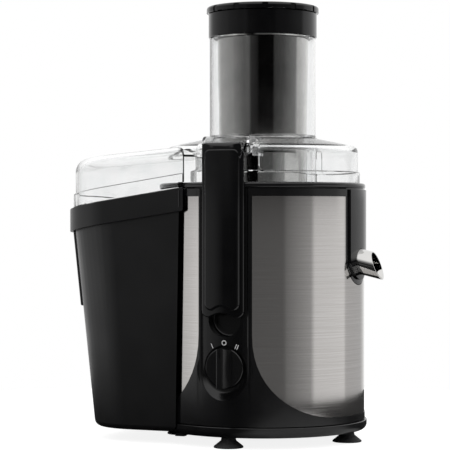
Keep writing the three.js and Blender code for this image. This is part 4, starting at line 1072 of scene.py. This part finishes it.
arm = pushed("latch_arm", [(x, 0, z) for x, z in arm_outline(0)], (0, ARM_IN - ARM_STEP, 0))
soften(arm, 1.2, segments=4, angle=50)
face = pushed("face", [(x, 0, z) for x, z in arm_outline(3.4)], (0, ARM_IN - ARM_OUT, 0))
soften(face, 1.9, segments=6, angle=50)
wrap(arm, ARM_IN, ARM_HALF, 24)
combine(arm, "UNION", wrap(face, ARM_IN, ARM_HALF, 24))
knuckle_side = [(-86, 256.4), *curve(-90.8, 251.4, 4, 80, 180, 6), (-94.8, 244),
                (-ARM_IN, 240), (-ARM_IN, 247.7), (-66, 247.6),
                *curve(HINGE[0], HINGE[1], 6.2, -90, 75, 12)]
knuckle = pushed("knuckle", [(-17.6, y, z) for y, z in knuckle_side], (35.2, 0, 0))
soften(knuckle, 3.2, segments=6, angle=60)
combine(knuckle, "INTERSECT", turned("bend", [(0, 230), (94.9, 230), (94.9, 265), (0, 265)],
                                     steps=192))
combine(arm, "UNION", knuckle)
combine(arm, "DIFFERENCE", pin_bore(2.3, HINGE[0]))
arm.name = "latch_arm_front"
arm_back = copied(arm, 180)
arm_back.name = "latch_arm_back"
set_in_place(arm, gloss_black_abs, "front_latch", "gloss_black_plastic", "latch_front")
set_in_place(arm_back, gloss_black_abs, "back_latch", "gloss_black_plastic", "latch_back")

# ---- Pusher ----
# A drawn and polished steel sleeve, closed below, with a gloss black collar that rests on
# the chute and a cap with notches round its lower edge.
sleeve = turned("pusher_sleeve_cup", [
    (0, 182), (33.8, 182), *curve(34.5, 185, 3, -90, 0, 5), (38.7, 270), (40, 350),
    (40, 370.5), (38.5, 370.5), (38.5, 350), (37.2, 270), (35.5, 185), (0, 185)], steps=160)
set_in_place(sleeve, polished_stainless, "pusher", "polished_steel", "pusher_sleeve")

COLLAR_R = 47.4
collar = turned("pusher_collar_ring", [
    (40.6, 350), (COLLAR_R - 0.5, 350), (COLLAR_R, 350.5), (COLLAR_R, 370.5),
    (COLLAR_R - 0.5, 371), (40.6, 371), (40.6, 350)], steps=160)
set_in_place(collar, gloss_black_abs, "pusher", "gloss_black_plastic", "pusher_collar")

CAP_R = 49.1
CAP_LOW = 371.3
cap = turned("pusher_cap_disc", [
    (0, CAP_LOW), (CAP_R - 0.4, CAP_LOW), (CAP_R, CAP_LOW + 0.4), (CAP_R, 374.2),
    *curve(CAP_R - 2.2, 374.8, 2.2, 0, 90, 6), (0, 377)], steps=160)
flute = pushed("flute", [(CAP_R - 0.8, -2.6, CAP_LOW - 1), (60, -2.6, CAP_LOW - 1),
                         (60, 2.6, CAP_LOW - 1), (CAP_R - 0.8, 2.6, CAP_LOW - 1)], (0, 0, 8))
flutes = [copied(flute, 30 * i - 66) for i in range(12)]
bpy.data.objects.remove(flute)
combine(cap, "DIFFERENCE", made_one(flutes))
combine(cap, "UNION", turned("spigot", [
    (34, 365.3), (38.3, 365.3), (38.3, 372), (34, 372), (34, 365.3)], steps=96))
soften(cap, 0.35, segments=3, angle=40)
set_in_place(cap, gloss_black_abs, "pusher", "gloss_black_plastic", "pusher_cap")

# ---- Pulp container ----
# A deep satin black ABS box with drafted walls, hollowed on one side to hug the body. It has
# a proud rim band, a finger grip panel on its far end and two tabs that meet the housing.
BIN_WALL = 2.5
BIN_FACE = 92
BIN_LOW = 10.5
BIN_HIGH = 235
BIN_HALF = 78
BIN_FAR = -143
BIN_NEAR = -30


def drafted_box(far, half, corner, low, soft):
    """A box on the container's plan whose walls lean out as they rise."""
    plan = bin_plan(half, far, corner, BIN_NEAR)
    box = pushed("box", [(x, y, low) for x, y in plan], (0, 0, BIN_HIGH - low))
    only(box)
    bpy.ops.object.mode_set(mode="EDIT")
    bpy.ops.mesh.select_all(action="DESELECT")
    bpy.ops.mesh.select_mode(type="FACE")
    bpy.ops.object.mode_set(mode="OBJECT")
    for face in box.data.polygons:
        face.select = face.normal.z > 0.9
    bpy.ops.object.mode_set(mode="EDIT")
    lean = (BIN_NEAR - far + 25.7) / (BIN_NEAR - far)
    splay = (half + 2.9) / half
    bpy.ops.transform.resize(value=(lean, splay, 1), center_override=(BIN_NEAR, 0, BIN_HIGH))
    bpy.ops.object.mode_set(mode="OBJECT")
    bpy.ops.object.mode_set(mode="EDIT")
    bpy.ops.mesh.select_all(action="DESELECT")
    bpy.ops.object.mode_set(mode="OBJECT")
    for edge in box.data.edges:
        ends = [box.data.vertices[i].co for i in edge.vertices]
        edge.select = all(abs(p.z - low) < 0.05 and p.x < BIN_NEAR + 0.1 for p in ends) \
            and not all(abs(p.x - BIN_NEAR) < 0.05 for p in ends)
    bpy.ops.object.mode_set(mode="EDIT")
    bpy.ops.mesh.select_mode(type="EDGE")
    bpy.ops.mesh.bevel(offset=soft, segments=5, affect="EDGES")
    close_up()
    return box


def under_rim_line(piece, rise):
    """Cuts a piece's top to the container's sloping rim line, raised by rise."""
    return sliced(piece, (RIM_X, 0, RIM_Z + rise), (-RIM_SLOPE, 0, 1))


container = under_rim_line(drafted_box(BIN_FAR, BIN_HALF, 48, BIN_LOW, 5), 0)
rim_plan = bin_plan(82.8, -167, 52, BIN_NEAR)
rim_band = pushed("rim_band", [(x, y, 150) for x, y in rim_plan], (0, 0, 90))
rim_band = below_rim_line(under_rim_line(rim_band, 0), -20)
soften(rim_band, 0.7, angle=60)
grip = under_rim_line(drafted_box(BIN_FAR - 3, BIN_HALF, 48, BIN_LOW, 5), -10)
grip_window = pushed("window", [(-200, -46, 115), (-200, 46, 115), (-120, 46, 115),
                                (-120, -46, 115)], (0, 0, 110))
combine(grip, "INTERSECT", grip_window)
soften(grip, 1, segments=3)
combine(container, "UNION", rim_band, grip)
body_room = turned("body_room", [(0, 0), (BIN_FACE, 0), (BIN_FACE, 260), (0, 260)], steps=192)
inner = combine(
    drafted_box(BIN_FAR + BIN_WALL, BIN_HALF - BIN_WALL, 48 - BIN_WALL, BIN_LOW + BIN_WALL, 4),
    "DIFFERENCE", turned("inner_face", [
        (0, 0), (BIN_FACE + BIN_WALL, 0), (BIN_FACE + BIN_WALL, 260), (0, 260)], steps=192))
combine(container, "DIFFERENCE", body_room, inner)
for turn in (-30.3, -149.7):
    tab = pushed("tab", [(-5, -100, 202), (5, -100, 202), (5, -80, 202), (-5, -80, 202)],
                 (0, 0, 14))
    combine(tab, "INTERSECT", turned("band", [
        (89.7, 195), (94, 195), (94, 225), (89.7, 225), (89.7, 195)], steps=192))
    combine(container, "UNION", turned_round(tab, turn))
container.name = "pulp_container_box"
soften(container, 0.4, angle=50)
set_in_place(container, satin_black_abs, "bin", "satin_black_plastic", "pulp_container")
